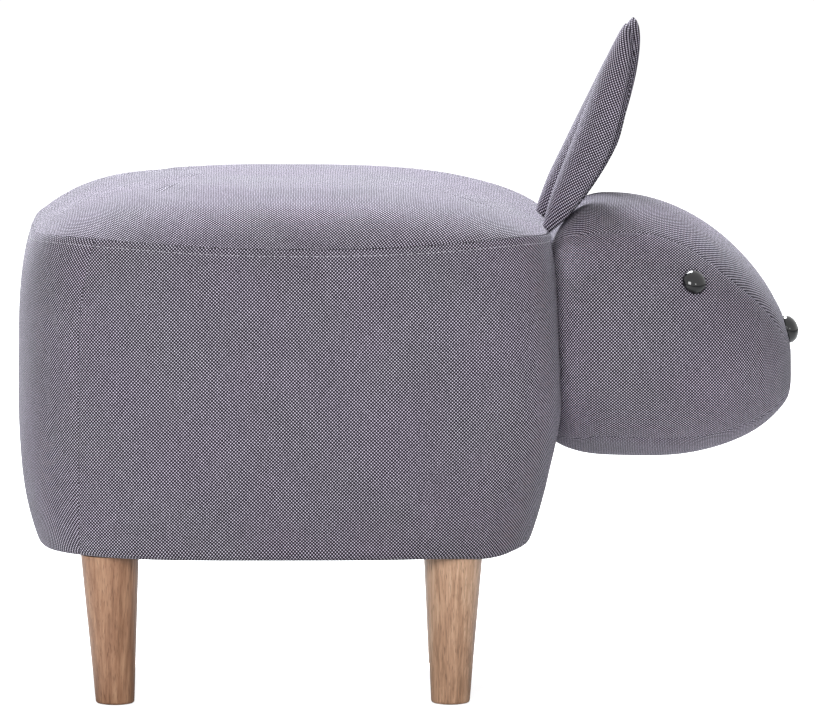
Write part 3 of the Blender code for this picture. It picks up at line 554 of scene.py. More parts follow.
def puff_grid(outer, distance, bottom_rows, poles, most):
    """Puff a grid closed by two poles between its seams: the grid, outward directions and top pole."""
    rows, columns = outer.shape[:2]
    count = rows * columns
    faces = grid_faces(rows, columns, True)
    faces += [(second, first, pole) for first, second, pole in fan(0, columns, count)]
    faces += fan(count - columns, columns, count + 1)
    points = np.concatenate((outer.reshape(-1, 3), poles))
    pinned = distance.reshape(-1) < SEAM_STEPS[0] / 2
    pinned[:bottom_rows * columns] = True
    pins = list(np.nonzero(pinned)[0]) + [count]
    moved, normals = puffed(points, faces, pins, PRESSURE, most)
    return moved[:count].reshape(outer.shape), normals[:count].reshape(outer.shape), moved[count + 1]


def wrinkles(points, distance, wave_scale, seeds):
    """How far the cover stands out: puckers beside its seams, and slow waves."""
    pucker = PUCKER * np.exp(-distance / PUCKER_REACH) * ripple(points, PUCKER_SCALE, seeds[0])
    wave = WAVE * ripple(points, wave_scale, seeds[1])
    return (pucker + wave) * (1 - np.exp(-distance / SEAM_REACH))


def panel_weave(grid, axis, middle, lean):
    """Weave coordinates of a panel: out from the middle of its face, and up from its hem."""
    along = travelled(grid, 1)
    for row, places in zip(along, grid[..., axis]):
        order = np.argsort(places)
        row -= np.interp(middle, places[order], row[order])
    ahead = along * lean
    rise = abs(lean) * (WEAVE_LEAN[0] * ahead + WEAVE_LEAN[1] * np.clip(ahead, 0, None) ** 2)
    return np.stack((along, travelled(grid, 0) - rise), -1)


def seam_map(distance, contact=None):
    """A map of distances: to the nearest seam, and to the nearest place where one piece meets another; the
    fabric paints shade and light by them.
    """
    return np.stack((distance, np.ones_like(distance) if contact is None else contact), -1)


def trim(*skins):
    """Pull a panel's two side edges in a little, in both of its skins."""
    for skin in skins:
        skin[:, 0] += (skin[:, 1] - skin[:, 0]) * EDGE_TRIM
        skin[:, -1] += (skin[:, -2] - skin[:, -1]) * EDGE_TRIM


def columns_of(grid, span):
    """A panel's columns, from one seam to the next."""
    return grid[:, np.arange(span[0], span[1] + 1) % grid.shape[1]]


def make_body_cover(fabric):
    """The side panels and the seat; returns the whole surface, to rest other pieces on."""
    outer, inner, plain, distance, hem_rows, seam_row, spans = body_skin()
    poles = np.array(((BODY_MID_X, 0, HEM_Z),
                      (BODY_MID_X - CROWN_SETBACK, 0, SEAM_Z + CROWN - BODY_SLACK)))
    outer, normals, top = puff_grid(outer, distance, hem_rows + 1, poles, BODY_MOST)
    wrinkle = wrinkles(outer, distance, BODY_WAVE_SCALE, (0, 3))
    wrinkle[:hem_rows + 2] = 0
    outer = outer + normals * wrinkle[..., None]

    # Each side panel's node, the axis across its face, where its middle is, and its weave's lean
    panels = {
        "front": ("front_cover", 1, 0.0, 0),
        "left": ("left_side_cover", 0, BODY_MID_X, -1),
        "rear": ("rear_cover", 1, 0.0, 0),
        "right": ("right_side_cover", 0, BODY_MID_X, 1),
    }
    for name, (node, *face) in panels.items():
        skin, lining, flat, away = (columns_of(grid[:seam_row + 1], spans[name])
                                    for grid in (outer, inner, plain, distance))
        trim(skin, lining)
        maps = {"weave": panel_weave(flat, *face), "seam": seam_map(away)}
        finish_soft(shell_piece(node + "_fabric", skin, lining, maps), fabric, node)

    skin, lining, dome, away = (grid[seam_row:].copy() for grid in (outer, inner, plain, distance))
    for layer in (skin, lining):
        layer[0] += (layer[1] - layer[0]) * EDGE_TRIM
    inside_top = np.array((BODY_MID_X - CROWN_SETBACK, 0, SEAM_Z + CROWN - COVER_INSIDE))
    radial = travelled(np.concatenate((dome, np.broadcast_to(top, dome[:1].shape))), 0)
    radial = (radial[-1] - radial)[:-1]
    heading = np.arctan2(dome[..., 1] - top[1], dome[..., 0] - top[0])
    maps = {"weave": np.stack((radial * np.cos(heading), radial * np.sin(heading)), axis=-1),
            "seam": seam_map(away)}
    piece = dome_piece("seat_cover_fabric", skin, lining, top, inside_top, maps)
    finish_soft(piece, fabric, "seat_cover")
    rows, columns = outer.shape[:2]
    points = [tuple(point) for point in outer.reshape(-1, 3)]
    return BVHTree.FromPolygons(points, grid_faces(rows, columns, True))


# The head's surface

def swelling(station, shape):
    """How far the head swells at a station."""
    size, middle, reach = shape
    return size * np.exp(-((station - middle) / reach) ** 2)


def head_points(station, around, depth):
    """Points of the head: station from neck to muzzle, around from the top, in degrees."""
    sine, cosine = np.sin(np.radians(station)), np.cos(np.radians(station))
    ahead = station > 0
    run = np.where(ahead, HEAD_FRONT_RUN, HEAD_REAR_RUN) - depth
    droop = np.where(ahead, MUZZLE_DROOP, NECK_DROOP)
    width = (HEAD_HALF_WIDTH - depth) * cosine ** np.where(ahead, MUZZLE_POWERS[0], 1.0)
    height = (HEAD_HALF_HEIGHT - depth) * cosine ** np.where(ahead, MUZZLE_POWERS[1], 1.0)
    across, up = np.sin(np.radians(around)), np.cos(np.radians(around))
    y = width * np.sign(across) * np.abs(across) ** HEAD_SECTION_POWER
    z = height * np.sign(up) * np.abs(up) ** HEAD_SECTION_POWER
    underside = np.clip(-up, 0, 1) ** 1.5
    z = z - swelling(station, CHIN_SWELLING) * underside
    z = z - swelling(station, TOP_DIP) * np.clip(up, 0, 1) ** 2
    x = HEAD_MID_X + run * sine + swelling(station, MUZZLE_SWELLING) * underside
    points = (x, y, HEAD_MID_Z - droop * sine ** 2 + z)
    return np.stack(np.broadcast_arrays(*points), -1)


def neck_stations(around, depth, body):
    """The station at which the head leaves the body's cover, for each angle round it."""
    stations = []
    for angle in around:
        low, high = -60.0, 20.0
        for _ in range(16):
            middle = (low + high) / 2
            point = Vector(head_points(middle, angle, depth))
            hit = body.ray_cast(Vector((1.0, point.y, point.z)), Vector((-1.0, 0.0, 0.0)))[0]
            if hit is None or point.x > hit.x - NECK_TUCK:
                high = middle
            else:
                low = middle
        stations.append(high)
    return np.array(stations)


def seam_line(line, rows, depth, body):
    """Angle of one of the head's seams in each row."""
    start = neck_stations([line[2][1]], depth, body)[0]
    return np.interp(start + (90 - start) * rows, *zip(*line))


def head_columns(rows, depth, body):
    """Angles and seam distances of the head's columns, and each panel's span of columns."""
    gusset = seam_line(GUSSET_SEAM, rows, depth, body)
    chin = 180 - seam_line(CHIN_SEAM, rows, depth, body)
    ends = {
        "gusset": (-gusset, gusset),
        "left": (gusset, 180 - chin),
        "chin": (180 - chin, 180 + chin),
        "right": (180 + chin, 360 - gusset),
    }
    size = math.radians(1) * (HEAD_HALF_WIDTH + HEAD_HALF_HEIGHT) / 2
    panels = {}
    for name, (start, end) in ends.items():
        length = (end - start) * size
        shares = spacing(length.max(), CLOTH_STEP)
        distance = np.minimum(shares, 1 - shares) * length[:, None]
        panels[name] = (start, end, shares, distance)
    return side_by_side(panels)


def head_skin(body):
    """The head's cover: outer and inner grids, stations, angles, seam and neck distances, and spans."""
    length = HEAD_FRONT_RUN + HEAD_HALF_WIDTH
    rows = spacing(length, CLOTH_STEP, True, False)[:-1] * LAST_STATION_SHARE
    around, side_distance, spans = head_columns(rows, NECK_DEPTH + HEAD_SLACK, body)
    start = neck_stations(around[0], NECK_DEPTH + HEAD_SLACK, body)
    station = start + (90 - start) * rows[:, None]
    girth = np.cos(np.radians(station)).clip(0.02) ** MUZZLE_POWERS[0]
    seam_distance = side_distance * girth
    neck_distance = np.broadcast_to(rows[:, None] * length, around.shape)
    crease = np.maximum(seam_crease(seam_distance), seam_crease(neck_distance, NECK_DEPTH, NECK_REACH))
    outer = head_points(station, around, crease + HEAD_SLACK)
    inner = head_points(station, around, COVER_INSIDE)
    return outer, inner, station, around, seam_distance, neck_distance, spans


def head_frame(station, around):
    """Where a button sits on the head, and which way it faces."""
    step = 0.5
    centre = Vector(head_points(station, around, 0.0))
    along = head_points(np.array((station - step, station + step)), around, 0.0)
    across = head_points(station, np.array((around - step, around + step)), 0.0)
    normal = Vector(np.cross(along[1] - along[0], across[1] - across[0])).normalized()
    return centre, normal


def make_head_cover(fabric, body):
    """The crown gusset, the two cheeks and the chin panel, dinted where the buttons sit."""
    outer, inner, station, around, seam_distance, neck_distance, spans = head_skin(body)
    distance = np.minimum(seam_distance, neck_distance)
    neck = outer[0].mean(axis=0)
    muzzle = head_points(90.0, 0.0, HEAD_SLACK)
    outer, normals, tip = puff_grid(outer, distance, 1, np.array((neck, muzzle)), HEAD_MOST)
    wrinkle = wrinkles(outer, distance, HEAD_WAVE_SCALE, (7, 5))
    for place in BUTTONS.values():
        centre, _ = head_frame(*place[:2])
        away = np.linalg.norm(outer - np.array(centre), axis=-1) / place[2]
        wrinkle += DINT_RIM * np.exp(-((away - 1.35) / 0.4) ** 2) - DINT * np.exp(-away ** 4)
    outer = outer + normals * wrinkle[..., None]
    inside_tip = head_points(89.9, 0.0, COVER_INSIDE)

    # Each panel's node, and the angle of its middle
    panels = {
        "gusset": ("head_gusset_cover", 0),
        "left": ("left_cheek_cover", 90),
        "chin": ("chin_cover", 180),
        "right": ("right_cheek_cover", 270),
    }
    for name, (node, centre) in panels.items():
        skin, lining, *rest = (columns_of(grid, spans[name]) for grid in
                               (outer, inner, station, around, seam_distance, neck_distance))
        skin = np.concatenate((skin, tip * (1 - TIP_GAP) + skin[-1:] * TIP_GAP))
        lining = np.concatenate((lining, inside_tip * (1 - TIP_GAP) + lining[-1:] * TIP_GAP))
        trim(skin, lining)
        stations, angles, seams, necks = (np.concatenate((grid, grid[-1:])) for grid in rest)
        stations[-1] = 90 - (90 - stations[-1]) * TIP_GAP
        # The distance from the neck gives the fabric its painted shade at the neck and its band of painted
        # light a little way forward of it
        maps = {"weave": head_weave(stations, angles, centre), "seam": seam_map(seams, necks)}
        finish_soft(shell_piece(node + "_fabric", skin, lining, maps), fabric, node)


def head_weave(station, around, centre):
    """Weave coordinates of a head panel: along its middle line, and across from it."""
    around = centre + (around - centre + 180) % 360 - 180
    line = np.linspace(-60, 90, 301)
    middle = head_points(line, np.full_like(line, centre), 0.0)
    along = np.interp(station, line, travelled(middle, 0))
    parts = centre + (around - centre)[..., None] * np.linspace(0, 1, 17)
    across = travelled(head_points(station[..., None], parts, 0.0), 2)[..., -1] * np.sign(around - centre)
    height = {0: 0.0, 90: -1.0, 180: 0.0, 270: 1.0}[centre] * np.interp(station, line, middle[:, 2])
    return np.stack((along, across + height), -1)


# Ears

def ear_leaf(share):
    """Width of the ear's leaf at a share of its length."""
    spread, steepness = (np.where(share < 0.5, low, high) for low, high in EAR_LEAF)
    return (1 - np.abs(2 * share - 1) ** spread) ** steepness


def ear_middle(share, fold):
    """The ear's middle layer: forward, across and up."""
    leaf = ear_leaf(share)
    curl = 1 - math.cos(math.radians(EAR_FOLD))
    across = EAR_HALF_WIDTH * leaf * np.sin(np.radians(fold))
    forward = EAR_DEPTH * leaf * (1 - np.cos(np.radians(fold))) / curl
    return np.stack(np.broadcast_arrays(forward, across, EAR_LENGTH * share), -1)


def turned(points, degrees):
    """Points turned round Z, each row by its own angle."""
    sine, cosine = np.sin(np.radians(degrees)), np.cos(np.radians(degrees))
    x, y, z = np.moveaxis(points, -1, 0)
    return np.stack((x * cosine - y * sine, x * sine + y * cosine, z), -1)


def ear_skins(side):
    """Inside and outside grids of the ear, turned more outward towards its tip."""
    share = (1 - np.cos(np.linspace(EAR_CUTS[0], math.pi - EAR_CUTS[1], EAR_ROWS)))[:, None] / 2
    fold = EAR_FOLD * np.sin(np.linspace(-math.pi / 2, math.pi / 2, EAR_COLUMNS))
    middle = ear_middle(share, fold)
    slope = ear_middle(share, fold + 1) - ear_middle(share, fold - 1)
    out = np.stack((slope[..., 1], -slope[..., 0], np.zeros(slope.shape[:2])), -1)
    out /= np.linalg.norm(out, axis=-1, keepdims=True)
    fill = np.sqrt(np.clip(1 - np.abs(fold / EAR_FOLD) ** EAR_FILL_POWER, 0, 1))
    thickness = (EAR_EDGE + (EAR_THICKNESS - EAR_EDGE) * fill) * np.minimum(1.0, EAR_TAPER * ear_leaf(share))
    half = (thickness / 2)[..., None]
    turn = side * (EAR_TURNS[0] + (EAR_TURNS[1] - EAR_TURNS[0]) * share)
    return turned(middle + out * half, turn), turned(middle - out * half, turn)


def make_ear(name, side, lean, setback, drop, fabric):
    """One folded, stuffed ear."""
    inside, outside = ear_skins(side)
    ring = np.concatenate((outside, inside[:, ::-1]), axis=1)
    rows, columns = ring.shape[:2]
    half = outside.shape[1]
    count = rows * columns
    ends = np.array(((0, 0, 0), (0, 0, EAR_LENGTH)))
    faces = grid_faces(rows, columns, True)
    faces += fan(0, columns, count) + fan(count - columns, columns, count + 1)
    points = np.concatenate((ring.reshape(-1, 3), ends))
    rim = [row * columns + column for row in range(rows) for column in (0, half - 1, half, columns - 1)]
    pins = rim + list(range(3 * columns)) + [count, count + 1]
    moved, _ = puffed(points, faces, pins, EAR_PRESSURE, EAR_MOST)
    up = ring[..., 2]
    around = travelled(outside, 1)
    across = around - around[:, half // 2:half // 2 + 1]
    across = np.concatenate((across, across[:, ::-1]), axis=1)
    rim = np.minimum(around, around[:, -1:] - around)
    # Along the fold at the back of the outer skin, the seam map gives a painted highlight
    rim = np.concatenate((np.minimum(rim, np.abs(across[:, :half]) + EAR_BACK_HIGHLIGHT), rim), axis=1)
    # The contact distance up the ear gives painted shade at its base
    maps = {"weave": np.stack((across, up), axis=-1), "seam": seam_map(rim, np.minimum(0.4 * up, EAR_BASE_SHADE_REACH))}
    ends = {"weave": ((0, 0), (0, EAR_LENGTH)), "seam": ((0, 0), (0, EAR_BASE_SHADE_REACH))}
    maps = {key: np.concatenate((values.reshape(-1, 2), ends[key])) for key, values in maps.items()}
    piece = mesh_piece(name + "_fabric", moved, faces, maps)
    base = Vector((EAR_BASE[0] - setback, side * EAR_SPREAD, EAR_BASE[1] - drop))
    piece.data.transform(Matrix.Translation(base) @ Matrix.Rotation(math.radians(lean), 4, "Y"))
    finish_soft(piece, fabric, name)


# Buttons and legs

def make_button(name, station, around, radius, height, material):
    """A glossy domed button on a stem."""
    centre, normal = head_frame(station, around)
    place = Matrix.Translation(centre) @ Vector((0, 0, 1)).rotation_difference(normal).to_matrix().to_4x4()
    profile = [(STEM_RADIUS, -STEM_LENGTH, 0), (STEM_RADIUS, -BUTTON_EDGE, 0),
               (radius * 0.97, -BUTTON_EDGE, 0), (radius, 0.0, 0)]
    for rise in np.radians(np.linspace(0, 88, 18)):
        profile.append((radius * math.cos(rise), BUTTON_LIFT + height * math.sin(rise), 0))
    finish_piece(turned_piece(name + "_button", profile, 72, place), material, "gloss_black", name)


def make_leg(name, material):
    """A turned, tapered leg with a rounded foot."""
    low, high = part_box(name)
    glide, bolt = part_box(name.replace("leg", "glide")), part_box(name.replace("leg", "hanger_bolt"))
    foot_x, top_x = ((start.x + end.x) / 2 for start, end in (glide, bolt))
    shift = foot_x - top_x
    recess = (glide[1].x - glide[0].x) / 2 + GLIDE_CLEARANCE
    end = FOOT_CLEARANCE - low.z
    profile = [(recess, 0.0, shift), (recess, end, shift)]
    for turn in np.radians(np.linspace(0, 90, 9)):
        profile.append((FOOT_RADIUS - FOOT_ROUNDING * (1 - math.sin(turn)),
                        end + FOOT_ROUNDING * (1 - math.cos(turn)), shift))
    for share in np.linspace(0, 1, 14)[1:]:
        height = end + FOOT_ROUNDING + (high.z - low.z - end - FOOT_ROUNDING) * share
        profile.append((FOOT_RADIUS + (LEG_TOP_RADIUS - FOOT_RADIUS) * share, height, shift * (1 - share)))
    place = Matrix.Translation((top_x, (bolt[0].y + bolt[1].y) / 2, low.z))
    finish_piece(turned_piece(name + "_wood", profile, 64, place), material, "turned_wood", name)


# Stitching

def make_stitches(material, body):
    """A row of short stitches below the seat seam, lying on the cover."""
    angles = np.linspace(0, 2 * math.pi, 3000)
    line = wall_points(angles, 1.0 - STITCH_BELOW / SEAM_RISE, 0.0)
    line = np.array([body.find_nearest(Vector(point))[0] for point in line])
    length = travelled(line, 0)
    turns = 2 * np.pi * np.arange(STITCH_SIDES)[:, None] / STITCH_SIDES
    points, faces = [], []
    for start in np.arange(0, length[-1] - STITCH_PITCH, STITCH_PITCH):
        parts = start + np.array((0, 0.5, 1)) * STITCH_LENGTH
        ends = np.stack([np.interp(parts, length, line[:, axis]) for axis in range(3)], -1)
        along = ends[2] - ends[0]
        along /= np.linalg.norm(along)
        out = np.array((ends[1][0] - BODY_MID_X, ends[1][1], 0))
        out -= along * out.dot(along)
        out /= np.linalg.norm(out)
        spokes = np.cos(turns) * out + np.sin(turns) * np.cross(along, out)
        first = len(points)
        for middle, radius, proud in zip(ends, (0.5, 1.0, 0.5), (-0.4, 0.35, -0.4)):
            points.extend(middle + STITCH_THICKNESS * (out * proud + spokes * radius))
        last = first + 2 * STITCH_SIDES
        faces += grid_faces(3, STITCH_SIDES, True, first)
        faces += [tuple(range(end, end + STITCH_SIDES)) for end in (first, last)]
    finish_piece(mesh_piece("seat_seam_stitching", points, faces), material, "cover_fabric")


# Materials

def feed(item, inputs):
    """Give a node its inputs: values or other nodes' outputs."""
    for key, value in inputs.items():
        if isinstance(value, bpy.types.NodeSocket):
            item.id_data.links.new(value, item.inputs[key])
        else:
            item.inputs[key].default_value = value


def new_material(name, colour, roughness, metallic=0.0):
    """A material with its principled shader."""
    material = bpy.data.materials.new(name)
    material.use_nodes = True
    tree = material.node_tree
    shader = tree.nodes["Principled BSDF"]
    feed(shader, {"Base Color": colour, "Roughness": roughness, "Metallic": metallic})
    return material, tree, shader


def add_node(owner, kind, inputs=None, **settings):
    """A shader node in the owner's tree; the owner is the tree itself or another node's output."""
    item = owner.id_data.nodes.new(kind)
    for key, value in settings.items():
        setattr(item, key, value)
    feed(item, inputs or {})
    return item


def maths(operation, *values):
    """One sum on values, the first of them a node's output."""
    inputs = dict(enumerate(values))
    return add_node(values[0], "ShaderNodeMath", inputs, operation=operation).outputs[0]


def vectors(operation, *values):
    """One sum on vectors, the first of them a node's output."""
    inputs = dict(enumerate(values))
    return add_node(values[0], "ShaderNodeVectorMath", inputs, operation=operation).outputs[0]


def ramp(factor, *stops):
    """A colour ramp; a single number stands for a grey."""
    item = add_node(factor, "ShaderNodeValToRGB", {"Fac": factor})
    elements = item.color_ramp.elements
    while len(elements) < len(stops):
        elements.new(0.5)
    for element, (place, colour) in zip(elements, stops):
        element.position = place
        element.color = (colour if isinstance(colour, tuple) else (colour,) * 3) + (1.0,)
    return item.outputs["Color"]


def noise_at(vector, scale, detail=2.0, output="Fac"):
    """Noise from 0 to 1 at a position."""
    inputs = {"Vector": vector, "Scale": scale, "Detail": detail}
    return add_node(vector, "ShaderNodeTexNoise", inputs).outputs[output]


def mixed(factor, low, high):
    """A number between two others."""
    return add_node(factor, "ShaderNodeMix", {0: factor, 2: low, 3: high}, data_type="FLOAT").outputs[0]


def axes_of(vector):
    """The three numbers of a vector."""
    return add_node(vector, "ShaderNodeSeparateXYZ", {0: vector}).outputs


def own_place(tree):
    """The position in metres."""
    return add_node(tree, "ShaderNodeTexCoord").outputs["Object"]


def bumped(height, strength, distance):
    """A surface direction from a height."""
    inputs = {"Height": height, "Strength": strength, "Distance": distance}
    return add_node(height, "ShaderNodeBump", inputs).outputs["Normal"]


def make_fabric():
    """Two-tone plain weave: light yarn one way, dark yarn the other."""
    material, tree, shader = new_material("woven_fabric", (0.2, 0.18, 0.215, 1), 0.9)
    place = add_node(tree, "ShaderNodeUVMap", uv_map="weave").outputs["UV"]
    wander = vectors("SUBTRACT", noise_at(place, WANDER_SCALE, 1.0, "Color"), (0.5, 0.5, 0.5))
    place = vectors("MULTIPLY_ADD", wander, (WANDER, WANDER, 0), place)
    yarns = vectors("MULTIPLY", place, (1 / YARN, 1 / YARN, 0))
    parts = axes_of(yarns)
    waves = [maths("COSINE", maths("MULTIPLY", parts[axis], math.pi)) for axis in (0, 1)]
    crossing = maths("MULTIPLY", *waves)
    level = maths("MULTIPLY_ADD", crossing, 0.5, 0.5)
    colour = ramp(level, (0.0, (0.030, 0.024, 0.035)), (0.42, (0.013, 0.010, 0.016)),
                  (0.58, (0.012, 0.010, 0.015)), (0.73, (0.55, 0.50, 0.615)), (1.0, (0.92, 0.865, 1.0)))

    # Each yarn varies along its length, and the cloth from place to place
    slubs = []
    for axis, stretch in ((0, (7.31, 0.16, 1.0)), (1, (0.16, 7.31, 1.0))):
        thread = maths("ROUND", parts[axis])
        seat = {axis: thread, 1 - axis: parts[1 - axis], 2: 3.7 * axis}
        seat = add_node(thread, "ShaderNodeCombineXYZ", seat).outputs[0]
        slubs.append(noise_at(vectors("MULTIPLY", seat, stretch), 1.0))
    over = maths("GREATER_THAN", crossing, 0.0)
    shade = maths("MULTIPLY_ADD", mixed(over, slubs[1], slubs[0]), 0.7, 0.65)
    drift = maths("MULTIPLY_ADD", noise_at(place, 22.0), 0.24, 0.88)
    shade = maths("MULTIPLY", shade, drift)

    # Painted shade in the seams, at the neck and at the ears' bases, a painted highlight beside each seam,
    # and a band of painted light on the head near the neck
    gaps = axes_of(add_node(tree, "ShaderNodeUVMap", uv_map="seam").outputs["UV"])
    # Painted shade in each seam line, and a painted highlight about 1.4 mm beside it
    seam = ramp(maths("MULTIPLY", gaps[0], 250.0),
                (0.0, 0.84), (0.10, 0.90), (0.20, 1.0), (0.36, 1.10), (0.62, 1.0))
    # Painted shade where the head meets the body and at the ears' bases, and a band of painted light on the
    # head from about 6 to 50 mm from the neck
    contact_shade_and_light = ramp(maths("MULTIPLY", gaps[1], 20.0),
                 (0.0, 0.15), (0.02, 0.45), (0.048, 0.95), (0.12, 1.13), (0.55, 1.13), (1.0, 1.0))
    shade = maths("MULTIPLY", maths("MULTIPLY", shade, seam), contact_shade_and_light)
    colour = add_node(tree, "ShaderNodeVectorMath", {0: colour, "Scale": shade}, operation="SCALE")
    tone = ramp(noise_at(place, 13.0, 3.0),
                (0.38, (1.015, 0.988, 1.015)), (0.62, (0.988, 1.005, 0.982)))

    height = maths("POWER", maths("ABSOLUTE", crossing), 0.6)
    height = maths("ADD", height, maths("MULTIPLY", noise_at(yarns, 5.0), 0.35))
    feed(shader, {
        "Base Color": vectors("MULTIPLY", colour.outputs[0], tone),
        "Normal": bumped(height, 0.5, 0.00022),
        "Sheen Weight": 0.25,
        "Sheen Roughness": 0.45,
        "Sheen Tint": (0.86, 0.84, 0.92, 1),
        "Specular IOR Level": 0.1,
    })
    return material


def make_thread():
    """Pale sewing thread with a slight twist."""
    material, tree, shader = new_material("sewing_thread", (0.62, 0.60, 0.66, 1), 0.7)
    place = own_place(tree)
    colour = ramp(noise_at(place, 900.0), (0.3, (0.46, 0.44, 0.50)), (0.7, (0.68, 0.66, 0.72)))
    feed(shader, {"Base Color": colour, "Sheen Weight": 0.2})
    return material


def make_wood():
    """Satin hardwood with its grain along the leg."""
    material, tree, shader = new_material("turned_wood", (0.36, 0.21, 0.14, 1), 0.42)
    place = own_place(tree)
    long = vectors("MULTIPLY", place, (1.0, 1.0, 0.055))
    bands = noise_at(long, 120.0, 4.0)
    streaks = noise_at(long, 520.0, 3.0)
    pores = noise_at(vectors("MULTIPLY", place, (1.0, 1.0, 0.02)), 1900.0, 1.0)
    grain = maths("ADD", maths("MULTIPLY", bands, 0.55), maths("MULTIPLY", streaks, 0.45))
    colour = ramp(grain, (0.34, (0.210, 0.105, 0.056)), (0.47, (0.34, 0.175, 0.098)),
                  (0.56, (0.42, 0.235, 0.138)), (0.68, (0.52, 0.325, 0.205)))
    colour = vectors("MULTIPLY", colour, ramp(pores, (0.30, (0.55, 0.50, 0.47)), (0.42, 1.0)))

    # Painted light: the wood is painted paler towards the front, so the front legs look more lit than the
    # rear ones
    ahead = axes_of(place)[0]
    tone = add_node(tree, "ShaderNodeCombineXYZ", {0: ahead, 1: ahead, 2: ahead}).outputs[0]
    tone = vectors("MULTIPLY_ADD", tone, (1.8, 2.7, 3.5), (1.61, 1.80, 1.98))
    feed(shader, {
        "Base Color": vectors("MULTIPLY", colour, tone),
        "Normal": bumped(maths("ADD", pores, streaks), 0.25, 0.0003),
        "Roughness": maths("MULTIPLY_ADD", streaks, 0.2, 0.34),
        "Coat Weight": 0.15,
        "Coat Roughness": 0.3,
    })
    return material


def speckled(name, low, high, scale, roughness, metallic=0.0, stretch=(1, 1, 1), bump=0.2):
    """A material whose colour and surface vary finely between two tones."""
    material, tree, shader = new_material(name, high + (1.0,), roughness, metallic)
    place = own_place(tree)
    spots = noise_at(vectors("MULTIPLY", place, stretch), scale, 3.0)
    feed(shader, {"Base Color": ramp(spots, (0.35, low), (0.65, high)),
                  "Normal": bumped(spots, bump, 0.0002)})
    return material


def make_gloss():
    """Polished black plastic with a trace of cloudiness."""
    material, tree, shader = new_material("polished_black", (0.006, 0.006, 0.007, 1), 0.05)
    place = own_place(tree)
    cloud = noise_at(place, 160.0, 3.0)
    feed(shader, {
        "Base Color": ramp(cloud, (0.3, (0.004, 0.004, 0.005)), (0.7, (0.008, 0.008, 0.010))),
        "Roughness": maths("MULTIPLY_ADD", cloud, 0.06, 0.02),
        "Coat Weight": 0.35,
        "Coat Roughness": 0.02,
    })
    return material


def dress_nodes():
    """Give every CAD node that stays its material, by the record's slots."""
    looks = {
        "dust_cloth": ((0.012, 0.012, 0.013), (0.035, 0.035, 0.038), 1500.0, 0.95),
        "foam": ((0.62, 0.55, 0.38), (0.80, 0.74, 0.56), 900.0, 0.95, 0.0, (1, 1, 1), 0.6),
        "plywood": ((0.42, 0.28, 0.15), (0.63, 0.46, 0.28), 60.0, 0.7, 0.0, (1, 12, 12), 0.3),
        "hardboard": ((0.17, 0.10, 0.05), (0.27, 0.17, 0.09), 1200.0, 0.75),
        "steel": ((0.48, 0.48, 0.50), (0.62, 0.62, 0.65), 500.0, 0.38, 1.0),
        "black_plastic": ((0.015, 0.015, 0.017), (0.03, 0.03, 0.033), 700.0, 0.5),
    }
    finishes = {slot: speckled(slot, *look) for slot, look in looks.items()}
    for part in frame["record"]["subparts"]:
        item = frame["nodes"][part["node"]]
        if part["material_slot"] in finishes:
            for place in item.material_slots:
                place.link = "OBJECT"
                place.material = finishes[part["material_slot"]]


# Floor, light and camera

def make_floor():
    """A plain pale floor that the camera sees as white, with the object's soft shadow."""
    mesh = bpy.data.meshes.new("floor")
    reach = 14.0
    mesh.from_pydata([(x * reach, y * reach, 0) for x, y in ((-1, -1), (1, -1), (1, 1), (-1, 1))],
                     [], [(0, 1, 2, 3)])
    floor = add_object("floor", mesh)
    material, tree, shader = new_material("pale_floor", (0.80, 0.80, 0.80, 1), 0.9)
    feed(shader, {"Specular IOR Level": 0.0})
    seen = add_node(tree, "ShaderNodeLightPath").outputs["Is Camera Ray"]
    glow = add_node(tree, "ShaderNodeEmission", {"Color": (1, 1, 1, 1), "Strength": 0.86})
    both = add_node(tree, "ShaderNodeAddShader", {0: shader.outputs[0], 1: glow.outputs[0]})
    matt = add_node(tree, "ShaderNodeBsdfDiffuse", {"Color": (0.62, 0.62, 0.62, 1)})
    mix = add_node(tree, "ShaderNodeMixShader", {0: seen, 1: matt.outputs[0], 2: both.outputs[0]})
    feed(tree.nodes["Material Output"], {"Surface": mix.outputs[0]})
    mesh.materials.append(material)


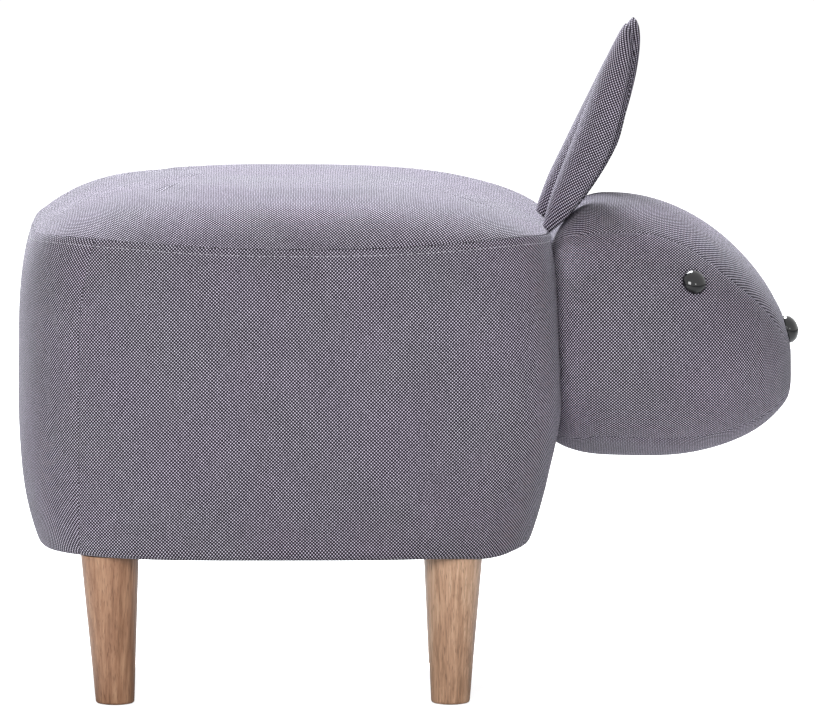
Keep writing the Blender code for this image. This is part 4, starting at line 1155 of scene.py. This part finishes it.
def make_world(ambient):
    """Soft even light, and white to the camera, in reflections and through glass."""
    world = bpy.data.worlds.new("studio")
    bpy.context.scene.world = world
    world.use_nodes = True
    tree = world.node_tree
    path = add_node(tree, "ShaderNodeLightPath").outputs
    seen = maths("MAXIMUM", path["Is Camera Ray"], path["Is Transmission Ray"])
    seen = maths("MAXIMUM", seen, path["Is Glossy Ray"])
    strength = mixed(seen, ambient, 1.0)
    feed(tree.nodes["Background"], {"Color": (1, 1, 1, 1), "Strength": strength})


def make_lamp(name, place, target, size, energy, colour=(1, 1, 1)):
    """A square soft lamp that faces a point."""
    lamp = bpy.data.lights.new(name, "AREA")
    lamp.shape = "RECTANGLE"
    lamp.size, lamp.size_y = size
    lamp.energy = energy
    lamp.color = colour
    item = add_object(name, lamp)
    item.location = place
    item.rotation_euler = (Vector(target) - Vector(place)).to_track_quat("-Z", "Y").to_euler()


def make_camera():
    """A long lens far away, seven degrees above the level, square to the right side."""
    target = Vector((-0.0012, 0, 0.2614))
    distance, tilt, turn = 20.0, math.radians(7), math.radians(0.45)
    camera = bpy.data.cameras.new("camera")
    camera.lens = camera.sensor_width * distance / (PHOTO_PIXELS * PIXEL)
    camera.clip_end = 100
    item = add_object("camera", camera)
    back = Vector((-math.sin(turn) * math.cos(tilt), -math.cos(turn) * math.cos(tilt), math.sin(tilt)))
    item.location = target + back * distance
    item.rotation_euler = (-back).to_track_quat("-Z", "Y").to_euler()
    bpy.context.scene.camera = item


def main():
    """Build, dress and light everything."""
    make_camera()
    fabric = make_fabric()
    body = make_body_cover(fabric)
    make_head_cover(fabric, body)
    for name, place in EARS.items():
        make_ear(name, *place, fabric)
    make_stitches(make_thread(), body)
    gloss = make_gloss()
    for name, place in BUTTONS.items():
        make_button(name, *place, gloss)
    wood = make_wood()
    for corner in ("front_right", "front_left", "rear_right", "rear_left"):
        make_leg(corner + "_leg", wood)
    dress_nodes()
    make_floor()
    make_world(0.22)
    make_lamp("top", (-0.35, 1.48, 2.42), (-0.1, 0, 0.3), (1.6, 1.2), 174, (0.965, 1.0, 1.03))
    make_lamp("key", (-0.45, -2.6, 1.2), (0, 0, 0.25), (1.2, 1.0), 41)
    make_lamp("glint", (1.6, -2.0, 0.9), (0, 0, 0.3), (0.3, 0.3), 2.5)
    bpy.context.scene.view_settings.view_transform = "Standard"


main()
